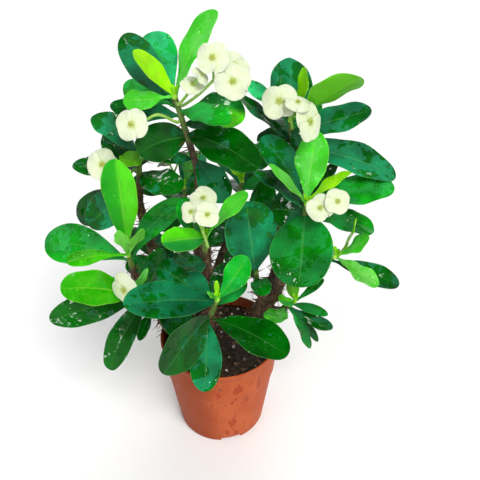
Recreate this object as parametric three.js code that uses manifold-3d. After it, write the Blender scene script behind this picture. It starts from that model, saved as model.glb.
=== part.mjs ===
// A potted crown-of-thorns euphorbia: three thorny trunks in a round nursery pot, branching into
// leafy shoots with dark grown leaves, bright young leaves and pale paired flower bracts.
// Millimetres; the pot stands on z = 0 with its axis on z, and the plant's front faces -y.
import * as THREE from "three";
import { mergeVertices } from "three/addons/utils/BufferGeometryUtils.js";
import Module from "manifold-3d";

const wasm = await Module();
wasm.setup();

// ---- driving sizes ----
const POT_RIM_RADIUS = 63;
const POT_BAND_RADIUS = 59.2;
const POT_FOOT_RADIUS = 48;
const POT_HEIGHT = 120;
const POT_BAND_Z = 80;
const POT_STEP = 1.4;
const POT_WALL = 2;
const POT_SIDES = 40;
const POT_EDGE = 1.2;
const RIM_LIP_HEIGHT = 3;
const RIM_LIP_REACH = 0.8;
const FOOT_RING_WIDTH = 5;
const FOOT_HEIGHT = 6;
const FOOT_CHAMFER = 2.5;
const BASE_DISC_RADIUS = 18;
const FOOT_NOTCHES = 4;
const FOOT_NOTCH_WIDTH = 21;
const FOOT_NOTCH_ANGLE = 14;

const SOIL_TOP = 108;
const SOIL_SIDES = 20;
const SOIL_RELIEF = 0.9;
const SOIL_MARGIN = 0.4;
const HOLE_MARGIN = 0.8;
const HOLE_SIDES = 14;
const FIT_GAP = 0.3;
const STEM_DEPTH = 24;

const BLADE_THICKNESS = 0.8;
const BLADE_FOLD = 9;
const BLADE_END = 0.9;
const LIGHT_LEAN = 30;
const PETIOLE_HALF_WIDTH = 1.3;
const TIP_SHARE = 0.07;
const BRACT_THICKNESS = 0.8;
const BRACT_DISH = 0.14;
const BRACT_NECK = 1.4;
const CUP_SHARE = 0.09;
const CUP_TAPER = 0.8;
const CUP_SEAT = 0.2;
const CUP_HEIGHT = 2.2;
const STALK_RADIUS = 1;
const PEDUNCLE_RADIUS = 1.2;
const STALK_BEND = 2.5;
const LIMB_SIDES = 7;
const LIMB_JOIN = 8;
const LIMB_JOIN_RADIUS = 4;
const LIMB_END_RADIUS = 3.5;
const SHOOT_SIDES = 6;
const SHOOT_FOOT_RADIUS = 3.3;
const SHOOT_TIP_RADIUS = 2.2;
const YOUNG_PART = 3.5;
const BUD_RADIUS = 2.4;
const BUD_TIP_RADIUS = 1.4;
const BUD_REACH = 1.5;
const YOUNG_ROOT = 0.8;
const MATURE_ROOT = 1.4;
const THORN_LENGTH = 9;
const THORN_RADIUS = 0.75;
const THORN_SPACING = 14;
const THORN_SINK = 1.6;
const THORN_START = 4;
const THORN_ROOM = 1.1;
const THORN_FREE_HEIGHT = 6;

// Where along the blade it is widest and how full its outline is.
const SHAPES = {
  spoon: { peak: 2, fullness: 0.85 },
  egg: { peak: 1.6, fullness: 0.75 },
  oval: { peak: 1.2, fullness: 0.7 },
  round: { peak: 1.1, fullness: 0.52 },
  lance: { peak: 1.3, fullness: 1.05 },
};
const LARGE_LEAF = 56;
const LARGE_STATIONS = [0, 0.18, 0.42, 0.68, 0.9, 1];
const SMALL_STATIONS = [0, 0.25, 0.6, 0.88, 1];
const FOLDED_SECTION = [[1, 1], [0, 1], [-1, 1], [-1, -1], [0, -1], [1, -1]];
const FLAT_SECTION = [[1, 1], [-1, 1], [-1, -1], [1, -1]];

// Reach of a pair of bracts every 30 degrees round the flower, as a share of half its width:
// two kidney shapes, each with a shallow notch at its tip, meeting at deeper notches.
const PAIR_OUTLINE = [0.88, 1, 0.95, 0.74, 0.95, 1, 0.88, 1, 0.95, 0.74, 0.95, 1];

// Trunks: each limb is a row of points with the limb's radius there. The first limb stands in the
// soil, and every other one ends at the foot of the shoot that it carries.
const trunks = {
  left: {
    base: [[-46, 8, SOIL_TOP - STEM_DEPTH, 7], [-49, 7, 110, 7], [-58, 0, 140, 6.5], [-61, -6, 165, 6]],
    low_left: [[-59, -3, 148, 5], [-60, -12, 157, 4.5]],
    side_left: [[-61, -6, 163, 5.5], [-70, -11, 190, 4.5]],
    upper_left: [[-61, -6, 163, 5.5], [-61, 6, 205, 5], [-67, 8, 245, 4.5]],
    back_low_left: [[-55, 4, 128, 5], [-52, 28, 141, 4.2]],
  },
  middle: {
    base: [[-12, 10, SOIL_TOP - STEM_DEPTH, 8], [-12, 10, 110, 8], [-12, 4, 140, 7], [-13, 2, 178, 6.5]],
    crown_left: [[-13, 2, 175, 6.3], [-12, 6, 230, 5.5], [-14, 4, 280, 4.8]],
    low_front: [[-13, 6, 128, 5], [-13, -14, 146, 4.2]],
    mid_front: [[-13, 3, 190, 5], [-11, -9, 216, 4.2]],
    back_upper_left: [[-13, 2, 172, 5.5], [-22, 32, 203, 4.4]],
    back_upper_mid: [[-13, 4, 158, 5.5], [0, 36, 188, 4.4]],
    back_low_mid: [[-13, 8, 122, 5], [-4, 42, 137, 4.2]],
  },
  right: {
    base: [[36, 25, SOIL_TOP - STEM_DEPTH, 10], [38, 26, 112, 10], [47, 24, 138, 9.5], [58, 18, 164, 8.5]],
    side_right: [[58, 18, 162, 7.5], [67, 6, 200, 6], [76, -6, 235, 5]],
    crown_right: [[58, 18, 162, 7], [64, 30, 210, 6], [63, 34, 265, 5], [66, 22, 300, 4.3]],
    far_right: [[62, 14, 182, 5.5], [81, -6, 208, 4.5]],
    mid_right: [[53, 21, 150, 5.5], [44, 0, 174, 4.4]],
    low_right: [[44, 25, 124, 4.6], [57, 24, 131, 4.2]],
    back_right: [[58, 18, 160, 6.5], [68, 42, 190, 5]],
    back_low_right: [[45, 26, 128, 6], [52, 48, 137, 4.4]],
  },
};

// Shoots. Each leaf: distance below the tip, azimuth, rise, length, width, arch, roll, shape.
// Azimuth 0 is +x and 90 is +y (away from the front); a positive arch bends the blade down.
const shoots = [
  {
    name: "crown_left", foot: [-16, 1, 318], tip: [-31, 0, 382],
    young: [
      [1, 30, 57, 72, 30, 24, -20, "egg"],
      [0, -160, 53, 47, 15, 20, -35, "oval"],
      [1, -165, -1, 40, 22, -4, 0, "spoon"],
    ],
    mature: [
      [8, 122, 49, 62, 30, 27, 0, "spoon"],
      [11, 153, 48, 69, 30, 0, -45, "egg"],
      [11, 150, 4, 55, 24, 18, -55, "spoon"],
      [14, -38, 3, 52, 23, 33, -3, "oval"],
      [35, -38, -7, 74, 36, 30, 0, "oval"],
      [38, -155, -8, 43, 32, 40, -45, "round"],
      [58, -155, 10, 28, 12, 10, 0, "oval"],
      [60, -35, -45, 44, 28, 20, 0, "oval"],
      [26, 9, -6, 41, 20, 8, -14, "round"],
      [18, 163, 2, 62, 22, -12, 0, "oval"],
      [18, 17, -4, 54, 37, 22, 2, "egg"],
    ],
  },
  {
    name: "upper_left", foot: [-69, 4, 285], tip: [-66, 10, 329],
    young: [
      [1, -108, -8, 24, 20, 20, 0, "oval"],
      [0, -60, 60, 18, 8, 10, 0, "lance"],
    ],
    mature: [
      [7, 148, 32, 55, 30, 45, 20, "egg"],
      [9, 165, 22, 36, 21, 36, -35, "egg"],
      [9, 130, 10, 54, 24, 20, 0, "egg"],
      [8, 171, -10, 63, 27, -30, 12, "round"],
      [24, -38, 2, 49, 29, 25, -5, "round"],
      [37, 162, -34, 84, 31, 18, -45, "egg"],
      [36, -179, -38, 64, 33, 15, -32, "oval"],
      [16, 74, 8, 54, 27, 20, 0, "egg"],
      [24, 112, -5, 55, 28, 20, 0, "egg"],
    ],
  },
  {
    name: "side_left", foot: [-78, -18, 215], tip: [-81, -20, 240],
    young: [
      [1, 98, 84, 92, 34, -20, -17, "egg"],
      [0, -95, 68, 38, 14, -10, 0, "lance"],
      [0, -35, 58, 42, 14, -10, -40, "lance"],
      [2, -165, 2, 54, 15, 25, -12, "spoon"],
    ],
    mature: [
      [10, -3, 51, 88, 22, 45, 43, "egg"],
      [10, 165, 2, 88, 39, 40, -15, "egg"],
      [14, 95, 5, 54, 26, 20, 0, "egg"],
    ],
  },
  {
    name: "low_left", foot: [-58, -22, 168], tip: [-81, -42, 211],
    young: [
      [2, -165, 18, 60, 34, 28, 0, "round"],
      [0, -20, 55, 42, 10, -20, 15, "oval"],
    ],
    mature: [
      [15, -174, -13, 84, 30, 18, -35, "oval"],
      [25, -139, -53, 73, 26, 25, -5, "round"],
      [42, -130, -50, 32, 12, 15, 10, "oval"],
      [48, -35, -8, 50, 27, 20, 0, "oval"],
      [30, 25, 70, 62, 25, 20, 0, "oval"],
    ],
  },
  {
    name: "low_front", foot: [-10, -33, 165], tip: [1, -45, 207],
    young: [
      [1, 0, 61, 55, 24, -5, 24, "egg"],
      [0, -120, 60, 15, 5, 0, 0, "lance"],
      [0, 100, 70, 17, 5, 0, 0, "lance"],
      [0, -160, 50, 14, 5, -20, 0, "lance"],
    ],
    mature: [
      [4, -152, 20, 89, 39, 18, 5, "oval"],
      [34, -32, -3, 84, 41, 30, -20, "egg"],
      [30, -130, -24, 69, 46, 32, -55, "oval"],
      [41, -93, -42, 65, 31, 18, 0, "oval"],
      [12, 178, 42, 66, 38, 15, 0, "oval"],
      [17, 60, 60, 44, 20, 10, 0, "oval"],
      [12, 30, 24, 36, 18, 20, 0, "oval"],
    ],
  },
  {
    name: "mid_front", foot: [-9, -36, 243], tip: [-8, -50, 279],
    young: [
      [1, 0, 50, 55, 18, 20, -5, "spoon"],
      [1, -147, 14, 39, 23, 8, -5, "round"],
    ],
    mature: [
      [37, -153, 12, 27, 38, 0, 32, "round"],
      [10, 132, 45, 42, 22, 20, 0, "oval"],
      [20, 60, 0, 52, 26, 20, 0, "egg"],
    ],
  },
  {
    name: "mid_right", foot: [38, -22, 200], tip: [36, -35, 230],
    young: [],
    mature: [
      [1, 112, 69, 65, 54, -10, 18, "oval"],
      [9, 82, 44, 92, 26, 10, -10, "spoon"],
      [18, 118, 0, 54, 26, 20, 0, "egg"],
      [12, -79, 12, 32, 18, 33, 5, "round"],
    ],
  },
  {
    name: "side_right", foot: [78, -12, 262], tip: [79, -20, 294],
    young: [
      [0, 76, 62, 62, 30, 35, -20, "lance"],
      [0, -162, 50, 55, 14, 5, 0, "lance"],
      [0, -12, 44, 47, 14, 34, -12, "lance"],
    ],
    mature: [
      [8, 162, 32, 55, 23, 43, 25, "round"],
      [9, 152, 53, 74, 28, 42, 0, "spoon"],
      [6, 42, 42, 47, 15, 15, -35, "spoon"],
      [9, 0, 17, 77, 36, 41, -14, "egg"],
      [21, 0, -10, 63, 32, 24, -20, "spoon"],
      [15, -98, -35, 66, 55, 25, 15, "round"],
      [17, 160, 0, 29, 37, 39, -33, "lance"],
    ],
  },
  {
    name: "crown_right", foot: [68, 15, 325], tip: [64, 15, 356],
    young: [
      [1, -15, 79, 46, 17, -26, 8, "egg"],
      [1, -26, 39, 70, 46, 4, -60, "spoon"],
    ],
    mature: [
      [11, 93, 58, 61, 40, 31, 16, "lance"],
      [13, 2, 16, 68, 27, 0, 5, "oval"],
      [22, -176, 43, 64, 17, 6, 10, "egg"],
      [7, 170, 41, 55, 16, 38, 5, "spoon"],
      [21, 166, -2, 30, 25, 24, 12, "round"],
      [9, -60, -50, 23, 12, 10, 0, "oval"],
      [27, -14, -12, 92, 37, 28, -10, "oval"],
      [22, 97, 0, 55, 28, 20, 0, "egg"],
      [17, 64, 16, 54, 26, 20, 0, "egg"],
    ],
  },
  {
    name: "far_right", foot: [95, -29, 234], tip: [107.5, -30, 245],
    young: [
      [0, -36, 73, 47, 12, -28, 0, "egg"],
      [1, -20, 46, 38, 18, -8, -5, "spoon"],
      [1, -33, -20, 45, 22, 14, -25, "egg"],
    ],
    mature: [
      [7, -10, -17, 66, 23, 4, -5, "egg"],
    ],
  },
  {
    name: "low_right", foot: [70, 20, 138], tip: [80, 15, 152],
    young: [
      [1, -2, 48, 41, 9, 0, 5, "egg"],
      [1, -134, 33, 31, 17, 2, 0, "lance"],
      [0, 125, 66, 24, 14, 10, 0, "oval"],
    ],
    mature: [
      [7, -18, -7, 39, 11, 20, 20, "oval"],
      [14, -22, -15, 52, 17, -15, -15, "egg"],
      [13, -41, -52, 52, 15, 20, -27, "egg"],
      [15, -18, -48, 54, 11, 18, -8, "egg"],
      [16, -121, 14, 37, 26, 2, 18, "egg"],
    ],
  },
  {
    name: "back_upper_left", foot: [-33, 61, 228], tip: [-37, 76, 256],
    young: [
      [0, 20, 68, 40, 16, 15, 0, "egg"],
    ],
    mature: [
      [12, 82, 20, 66, 30, 25, 0, "egg"],
      [8, 175, 12, 55, 28, 20, 0, "egg"],
      [10, 36, 8, 46, 24, 25, 0, "oval"],
      [16, 115, -15, 66, 30, 15, 0, "oval"],
      [13, -110, -8, 54, 28, 10, 0, "oval"],
    ],
  },
  {
    name: "back_upper_mid", foot: [18, 71, 229], tip: [24, 86, 258],
    young: [
      [0, 90, 66, 44, 17, 15, 0, "egg"],
      [1, -160, 55, 34, 12, 10, 0, "lance"],
    ],
    mature: [
      [8, 60, 22, 66, 30, 25, 0, "egg"],
      [8, 112, 20, 66, 30, 25, 0, "egg"],
      [10, 0, 22, 44, 22, 20, 0, "oval"],
      [16, 90, -15, 68, 32, 15, 0, "oval"],
    ],
  },
  {
    name: "back_right", foot: [77, 62, 222], tip: [82, 72, 248],
    young: [
      [0, 120, 60, 38, 15, 15, 0, "egg"],
      [1, -20, 55, 40, 14, 10, 0, "lance"],
    ],
    mature: [
      [6, 105, 20, 64, 29, 25, 0, "egg"],
      [12, 22, 6, 55, 26, 20, 0, "egg"],
      [14, 75, -15, 66, 30, 15, 0, "oval"],
      [16, -15, 0, 54, 25, 15, 0, "oval"],
    ],
  },
  {
    name: "back_low_left", foot: [-48, 48, 153], tip: [-46, 57, 176],
    young: [
      [0, 100, 62, 34, 13, 10, 0, "egg"],
    ],
    mature: [
      [7, 80, 5, 62, 29, 25, 0, "egg"],
      [7, 140, 10, 66, 29, 25, 0, "oval"],
      [10, -170, 8, 55, 26, 20, 0, "egg"],
      [12, 110, -30, 54, 26, 10, 0, "oval"],
    ],
  },
  {
    name: "back_low_mid", foot: [11, 77, 156], tip: [15, 88, 178],
    young: [
      [0, 60, 64, 36, 14, 10, 0, "egg"],
    ],
    mature: [
      [7, 95, 10, 66, 30, 25, 0, "egg"],
      [7, 45, 8, 55, 27, 20, 0, "oval"],
      [10, 145, 5, 50, 25, 20, 0, "egg"],
      [12, 75, -35, 52, 25, 10, 0, "oval"],
    ],
  },
  {
    name: "back_low_right", foot: [58, 66, 147], tip: [64, 76, 168],
    young: [
      [0, 20, 60, 36, 14, 10, 0, "egg"],
    ],
    mature: [
      [7, 75, 12, 64, 29, 25, 0, "egg"],
      [7, 15, 8, 55, 27, 20, 0, "egg"],
      [10, -25, 0, 50, 24, 20, 0, "oval"],
      [12, 45, -30, 54, 26, 10, 0, "oval"],
    ],
  },
];

// Blooms: the shoot that carries it, how far below its tip and on which side, the points its stalk
// then passes, and each flower: centre, facing azimuth and rise, spin, width.
const blooms = [
  {
    name: "crown_far_left", shoot: "crown_left", drop: 22, azimuth: -160,
    stalk: [[-43, -12, 370], [-54, -18, 367]],
    flowers: [[[-63, -24, 367], -100, 35, 20, 27]],
  },
  {
    name: "crown_bud", shoot: "crown_left", drop: 7, azimuth: -60,
    stalk: [[-19, -9, 386]],
    flowers: [[[-15, -11, 394], -60, 60, 30, 20], [[-8, -13, 402], -20, 40, 80, 16]],
  },
  {
    name: "crown_cluster", shoot: "crown_left", drop: 10, azimuth: -5,
    stalk: [[-11, -5, 384], [1, -7, 396]],
    flowers: [
      [[1, -12, 415], -100, 30, 10, 26],
      [[16, -18, 399], -85, 25, 60, 29],
      [[17, 2, 405], -60, 45, 100, 27],
    ],
  },
  {
    name: "upper_left", shoot: "upper_left", drop: 18, azimuth: -150,
    stalk: [[-76, 1, 309], [-88, -1, 308]],
    flowers: [[[-97, 0, 320], -98, 36, 40, 29]],
  },
  {
    name: "low_left", shoot: "low_left", drop: 8, azimuth: -120,
    stalk: [[-79, -51, 213]],
    flowers: [[[-80, -56, 226], -125, 10, 70, 33]],
  },
  {
    name: "mid_front", shoot: "mid_front", drop: 8, azimuth: -60,
    stalk: [[-9, -56, 290]],
    flowers: [
      [[-17, -56, 307], -115, 35, 20, 20],
      [[-4, -63, 309], -85, 30, 80, 21],
      [[-8, -45, 313], -95, 50, 50, 22],
    ],
  },
  {
    name: "side_right", shoot: "side_right", drop: 16, azimuth: -20,
    stalk: [[90, -19, 280], [95, -25, 286]],
    flowers: [
      [[88, -37, 299], -95, 30, 40, 24],
      [[102, -35, 304], -80, 35, 70, 23],
    ],
  },
  {
    name: "crown_right", shoot: "crown_right", drop: 7, azimuth: -80,
    stalk: [[63, 5, 363]],
    flowers: [
      [[53, -4, 378], -105, 40, 20, 31],
      [[67, -9, 379], -60, 75, 60, 24],
      [[77, -14, 365], -40, 20, 90, 33],
    ],
  },
  {
    name: "back_left", shoot: "back_upper_left", drop: 6, azimuth: 128,
    stalk: [[-47, 84, 267]],
    flowers: [
      [[-54, 90, 279], 130, 35, 30, 26],
      [[-40, 98, 280], 75, 35, 80, 26],
    ],
  },
  {
    name: "back_right", shoot: "back_right", drop: 6, azimuth: 50,
    stalk: [[93, 80, 260]],
    flowers: [
      [[101, 80, 273], 25, 40, 30, 26],
      [[90, 94, 272], 95, 30, 80, 25],
    ],
  },
];

const colours = {
  pot: { color: "#c8623c", roughness: 0.45 },
  soil: { color: "#2c211b", roughness: 0.95 },
  bark: { color: "#5e4a33", roughness: 0.85 },
  mature: { color: "#0b7a3c", roughness: 0.35 },
  young: { color: "#62d02c", roughness: 0.4 },
  bloom: { color: "#f4f4c8", roughness: 0.6 },
};

const rad = THREE.MathUtils.degToRad;

function seededRandom(seed) {
  let state = seed;
  return () => {
    state = (state * 1664525 + 1013904223) % 4294967296;
    return state / 4294967296;
  };
}

function heading(azimuth, rise) {
  const level = Math.cos(rise);
  return new THREE.Vector3(level * Math.cos(azimuth), level * Math.sin(azimuth), Math.sin(rise));
}

function solidFrom(points, triangles) {
  const vertProperties = new Float32Array(points.flatMap((p) => [p.x, p.y, p.z]));
  const triVerts = new Uint32Array(triangles.flat());
  return new wasm.Manifold(new wasm.Mesh({ numProp: 3, vertProperties, triVerts }));
}

function solidOf(geometry) {
  geometry.deleteAttribute("normal");
  geometry.deleteAttribute("uv");
  const merged = mergeVertices(geometry, 1e-4);
  const vertProperties = new Float32Array(merged.attributes.position.array);
  const triVerts = new Uint32Array(merged.index.array);
  return new wasm.Manifold(new wasm.Mesh({ numProp: 3, vertProperties, triVerts }));
}

function fuse(solids) {
  return solids.reduce((whole, solid) => whole.add(solid));
}

// Rings of equal point counts joined into one closed skin, the flat ends filled from their middle.
function skin(rings, flipFrom = Infinity) {
  const count = rings[0].length;
  const points = rings.flat();
  const triangles = [];
  for (let i = 0; i + 1 < rings.length; i++) {
    for (let k = 0; k < count; k++) {
      const a = i * count + k;
      const b = i * count + ((k + 1) % count);
      const c = b + count;
      const d = a + count;
      if (k >= flipFrom && k < count - 1) triangles.push([a, b, d], [b, c, d]);
      else triangles.push([a, b, c], [a, c, d]);
    }
  }
  return { points, triangles, count, last: (rings.length - 1) * count };
}

function limb(path, sides) {
  const at = path.map(([x, y, z]) => new THREE.Vector3(x, y, z));
  let across = new THREE.Vector3(1, 0.2, 0.1);
  const rings = at.map((point, i) => {
    const before = at[Math.max(i - 1, 0)];
    const after = at[Math.min(i + 1, at.length - 1)];
    const along = after.clone().sub(before).normalize();
    across = across.clone().addScaledVector(along, -across.dot(along)).normalize();
    const other = along.clone().cross(across);
    return Array.from({ length: sides }, (_, k) => {
      const turn = (2 * Math.PI * k) / sides;
      return point.clone()
        .addScaledVector(across, path[i][3] * Math.cos(turn))
        .addScaledVector(other, path[i][3] * Math.sin(turn));
    });
  });
  const { points, triangles, count, last } = skin(rings);
  for (let k = 1; k + 1 < count; k++) {
    triangles.push([0, k + 1, k]);
    triangles.push([last, last + k, last + k + 1]);
  }
  return solidFrom(points, triangles);
}

function thorn(root, direction, length) {
  const tip = root.clone().addScaledVector(direction, length);
  const across = new THREE.Vector3(-direction.y, direction.x, 0).normalize();
  const other = direction.clone().cross(across);
  const ring = [0, 1, 2].map((k) => root.clone()
    .addScaledVector(across, THORN_RADIUS * Math.cos((k * 2 * Math.PI) / 3))
    .addScaledVector(other, THORN_RADIUS * Math.sin((k * 2 * Math.PI) / 3)));
  return solidFrom([...ring, tip], [[0, 1, 3], [1, 2, 3], [2, 0, 3], [0, 2, 1]]);
}

// One leaf: a thin blade, a large one folded slightly along its midrib, its root sunk in the shoot.
function leaf(root, [, azimuth, rise, length, width, arch, roll, shape]) {
  const { peak, fullness } = SHAPES[shape];
  const large = length >= LARGE_LEAF;
  const stations = large ? LARGE_STATIONS : SMALL_STATIONS;
  const section = large ? FOLDED_SECTION : FLAT_SECTION;
  const az = rad(azimuth);
  const turn = rad(roll + LIGHT_LEAN * Math.cos(az));
  const fold = large ? rad(BLADE_FOLD) : 0;
  const midrib = root.clone();
  let before = 0;
  const rings = stations.map((s) => {
    const between = rad(rise + arch * (0.5 - (s + before) / 2));
    midrib.addScaledVector(heading(az, between), (s - before) * length);
    before = s;
    const along = heading(az, rad(rise + arch * (0.5 - s)));
    const side = new THREE.Vector3(-Math.sin(az), Math.cos(az), 0).applyAxisAngle(along, turn);
    const face = along.clone().cross(side);
    const outline = (width / 2) * Math.sin(Math.PI * s ** peak) ** fullness;
    const half = Math.max(outline, s < BLADE_END ? PETIOLE_HALF_WIDTH : width * TIP_SHARE);
    return section.map(([across, up]) => midrib.clone()
      .addScaledVector(side, half * Math.cos(fold) * across)
      .addScaledVector(face, half * Math.sin(fold) * Math.abs(across) + (up * BLADE_THICKNESS) / 2));
  });
  const { points, triangles, last } = skin(rings, section.length / 2);
  const ends = large ? [[0, 4, 1], [0, 5, 4], [1, 3, 2], [1, 4, 3]] : [[0, 2, 1], [0, 3, 2]];
  for (const [a, b, c] of ends) triangles.push([a, b, c], [last + a, last + c, last + b]);
  return solidFrom(points, triangles);
}

// One flower in one skin: its short stalk, the dished pair of bracts and the cup in their middle.
function flower(joint, [centre, azimuth, rise, spin, width]) {
  const middle = new THREE.Vector3(...centre);
  const face = heading(rad(azimuth), rad(rise));
  const level = new THREE.Vector3(-Math.sin(rad(azimuth)), Math.cos(rad(azimuth)), 0);
  const up = level.applyAxisAngle(face, rad(spin));
  const sideways = up.clone().cross(face);
  const spot = (from, angle, reach, height) => from.clone()
    .addScaledVector(up, reach * Math.cos(rad(angle)))
    .addScaledVector(sideways, reach * Math.sin(rad(angle)))
    .addScaledVector(face, height);
  const ring = (from, radius, height) => [0, 1, 2, 3, 4, 5].map((k) => spot(from, 60 * k, radius, height));
  const rim = (height) => PAIR_OUTLINE.map((share, k) => {
    const reach = (share * width) / 2;
    return spot(middle, 30 * k, reach, height - BRACT_DISH * reach * Math.abs(Math.cos(rad(30 * k))));
  });
  const cup = CUP_SHARE * width;
  const points = [
    ...ring(joint, STALK_RADIUS, 0), ...ring(middle, STALK_RADIUS, -BRACT_THICKNESS - BRACT_NECK),
    ...rim(-BRACT_THICKNESS), ...rim(0),
    ...ring(middle, cup, CUP_SEAT), ...ring(middle, cup * CUP_TAPER, CUP_HEIGHT),
  ];
  const triangles = [];
  for (let k = 0; k < 6; k++) {
    const n = (k + 1) % 6;
    const [a, b, c] = [2 * k, 2 * k + 1, (2 * k + 2) % 12];
    triangles.push([k, 6 + n, n], [k, 6 + k, 6 + n]);
    triangles.push([6 + k, 12 + a, 12 + b], [6 + k, 12 + b, 12 + c], [6 + k, 12 + c, 6 + n]);
    triangles.push([12 + a, 24 + a, 24 + b], [12 + a, 24 + b, 12 + b]);
    triangles.push([12 + b, 24 + b, 24 + c], [12 + b, 24 + c, 12 + c]);
    triangles.push([36 + k, 24 + b, 24 + a], [36 + k, 24 + c, 24 + b], [36 + k, 36 + n, 24 + c]);
    triangles.push([36 + k, 42 + k, 42 + n], [36 + k, 42 + n, 36 + n]);
  }
  for (let k = 1; k < 5; k++) triangles.push([0, k, k + 1], [42, 42 + k + 1, 42 + k]);
  return solidFrom(points, triangles);
}

// The stalk leaves its shoot squarely, just clear of the bark, then bends up to the flowers.
function stalkOf({ shoot: carrier, drop, azimuth, stalk }) {
  const shoot = shootNamed(carrier);
  const bark = stemRadius(shoot, drop);
  const start = leafRoot(shoot, drop, azimuth, bark + FIT_GAP);
  const bend = leafRoot(shoot, drop, azimuth, bark + FIT_GAP + STALK_BEND);
  return [start.toArray(), bend.toArray(), ...stalk];
}

function bloom(spec) {
  const path = stalkOf(spec);
  const joint = new THREE.Vector3(...path[path.length - 1]);
  const peduncle = limb(path.map((point) => [...point, PEDUNCLE_RADIUS]), 5);
  return fuse([peduncle, ...spec.flowers.map((each) => flower(joint, each))]);
}

function shootNamed(name) {
  return shoots.find((shoot) => shoot.name === name);
}

function shootLength(shoot) {
  return new THREE.Vector3(...shoot.tip).distanceTo(new THREE.Vector3(...shoot.foot));
}

function stemRadius(shoot, drop) {
  return SHOOT_TIP_RADIUS + ((SHOOT_FOOT_RADIUS - SHOOT_TIP_RADIUS) * drop) / shootLength(shoot);
}

function pointBelowTip(shoot, drop) {
  const tip = new THREE.Vector3(...shoot.tip);
  const down = new THREE.Vector3(...shoot.foot).sub(tip).normalize();
  return tip.addScaledVector(down, drop);
}

function leafRoot(shoot, drop, azimuth, outward) {
  const axis = new THREE.Vector3(...shoot.tip).sub(new THREE.Vector3(...shoot.foot)).normalize();
  const out = heading(rad(azimuth), 0);
  out.addScaledVector(axis, -out.dot(axis)).normalize();
  return pointBelowTip(shoot, drop).addScaledVector(out, outward);
}

// The growing end keeps clear of the older stem below it by the fitting gap.
function youngTuft(shoot) {
  const base = pointBelowTip(shoot, YOUNG_PART);
  const end = pointBelowTip(shoot, -BUD_REACH);
  const bud = limb([[...base.toArray(), BUD_RADIUS], [...end.toArray(), BUD_TIP_RADIUS]], SHOOT_SIDES);
  const leaves = shoot.young.map((row) => {
    const [drop, azimuth] = row;
    return leaf(leafRoot(shoot, Math.min(drop, YOUNG_PART - 1.5), azimuth, YOUNG_ROOT), row);
  });
  return fuse([bud, ...leaves]);
}

function leafyStem(shoot) {
  const top = shoot.young.length ? YOUNG_PART + FIT_GAP : 0;
  const start = new THREE.Vector3(...shoot.foot);
  const end = pointBelowTip(shoot, top);
  const path = [[...start.toArray(), SHOOT_FOOT_RADIUS], [...end.toArray(), SHOOT_TIP_RADIUS]];
  const stem = limb(path, SHOOT_SIDES);
  const leaves = shoot.mature.map((row) => {
    const [drop, azimuth] = row;
    return leaf(leafRoot(shoot, Math.max(drop, top + 1.2), azimuth, MATURE_ROOT), row);
  });
  return fuse([stem, ...leaves]);
}

// Thorns stand all round a limb, a little raised; one that would meet a leaf or bloom is left off.
function thornsOn(limbs, random, nearby) {
  const kept = [];
  for (const path of limbs) {
    let travelled = THORN_START;
    for (let i = 0; i + 1 < path.length; i++) {
      const from = new THREE.Vector3(...path[i]);
      const to = new THREE.Vector3(...path[i + 1]);
      const span = from.distanceTo(to);
      const along = to.clone().sub(from).normalize();
      const level = new THREE.Vector3(-along.y, along.x, 0.3).normalize();
      while (travelled < span) {
        const share = travelled / span;
        const root = from.clone().lerp(to, share);
        const radius = path[i][3] * (1 - share) + path[i + 1][3] * share;
        travelled += THORN_SPACING * (0.6 + 0.8 * random());
        const out = level.clone().applyAxisAngle(along, 2 * Math.PI * random());
        out.addScaledVector(along, 0.15 + 0.35 * random()).normalize();
        const length = THORN_LENGTH * (0.7 + 0.6 * random());
        if (root.z < SOIL_TOP + THORN_FREE_HEIGHT) continue;
        root.addScaledVector(out, radius - THORN_SINK);
        const point = root.clone().addScaledVector(out, length + THORN_SINK + 1);
        const guard = limb([[...root.toArray(), THORN_ROOM], [...point.toArray(), THORN_ROOM]], 4);
        if (nearby.some((other) => guard.intersect(other).volume() > 0)) continue;
        kept.push(thorn(root, out, length + THORN_SINK));
      }
      travelled -= span;
    }
  }
  return kept;
}

// A shape turned about z from its half outline of radius and height, closed on the axis.
function turned(outline, sides) {
  const half = outline.map(([radius, z]) => new THREE.Vector2(radius, z));
  const geometry = new THREE.LatheGeometry(half, sides);
  return geometry.rotateX(Math.PI / 2);
}

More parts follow.
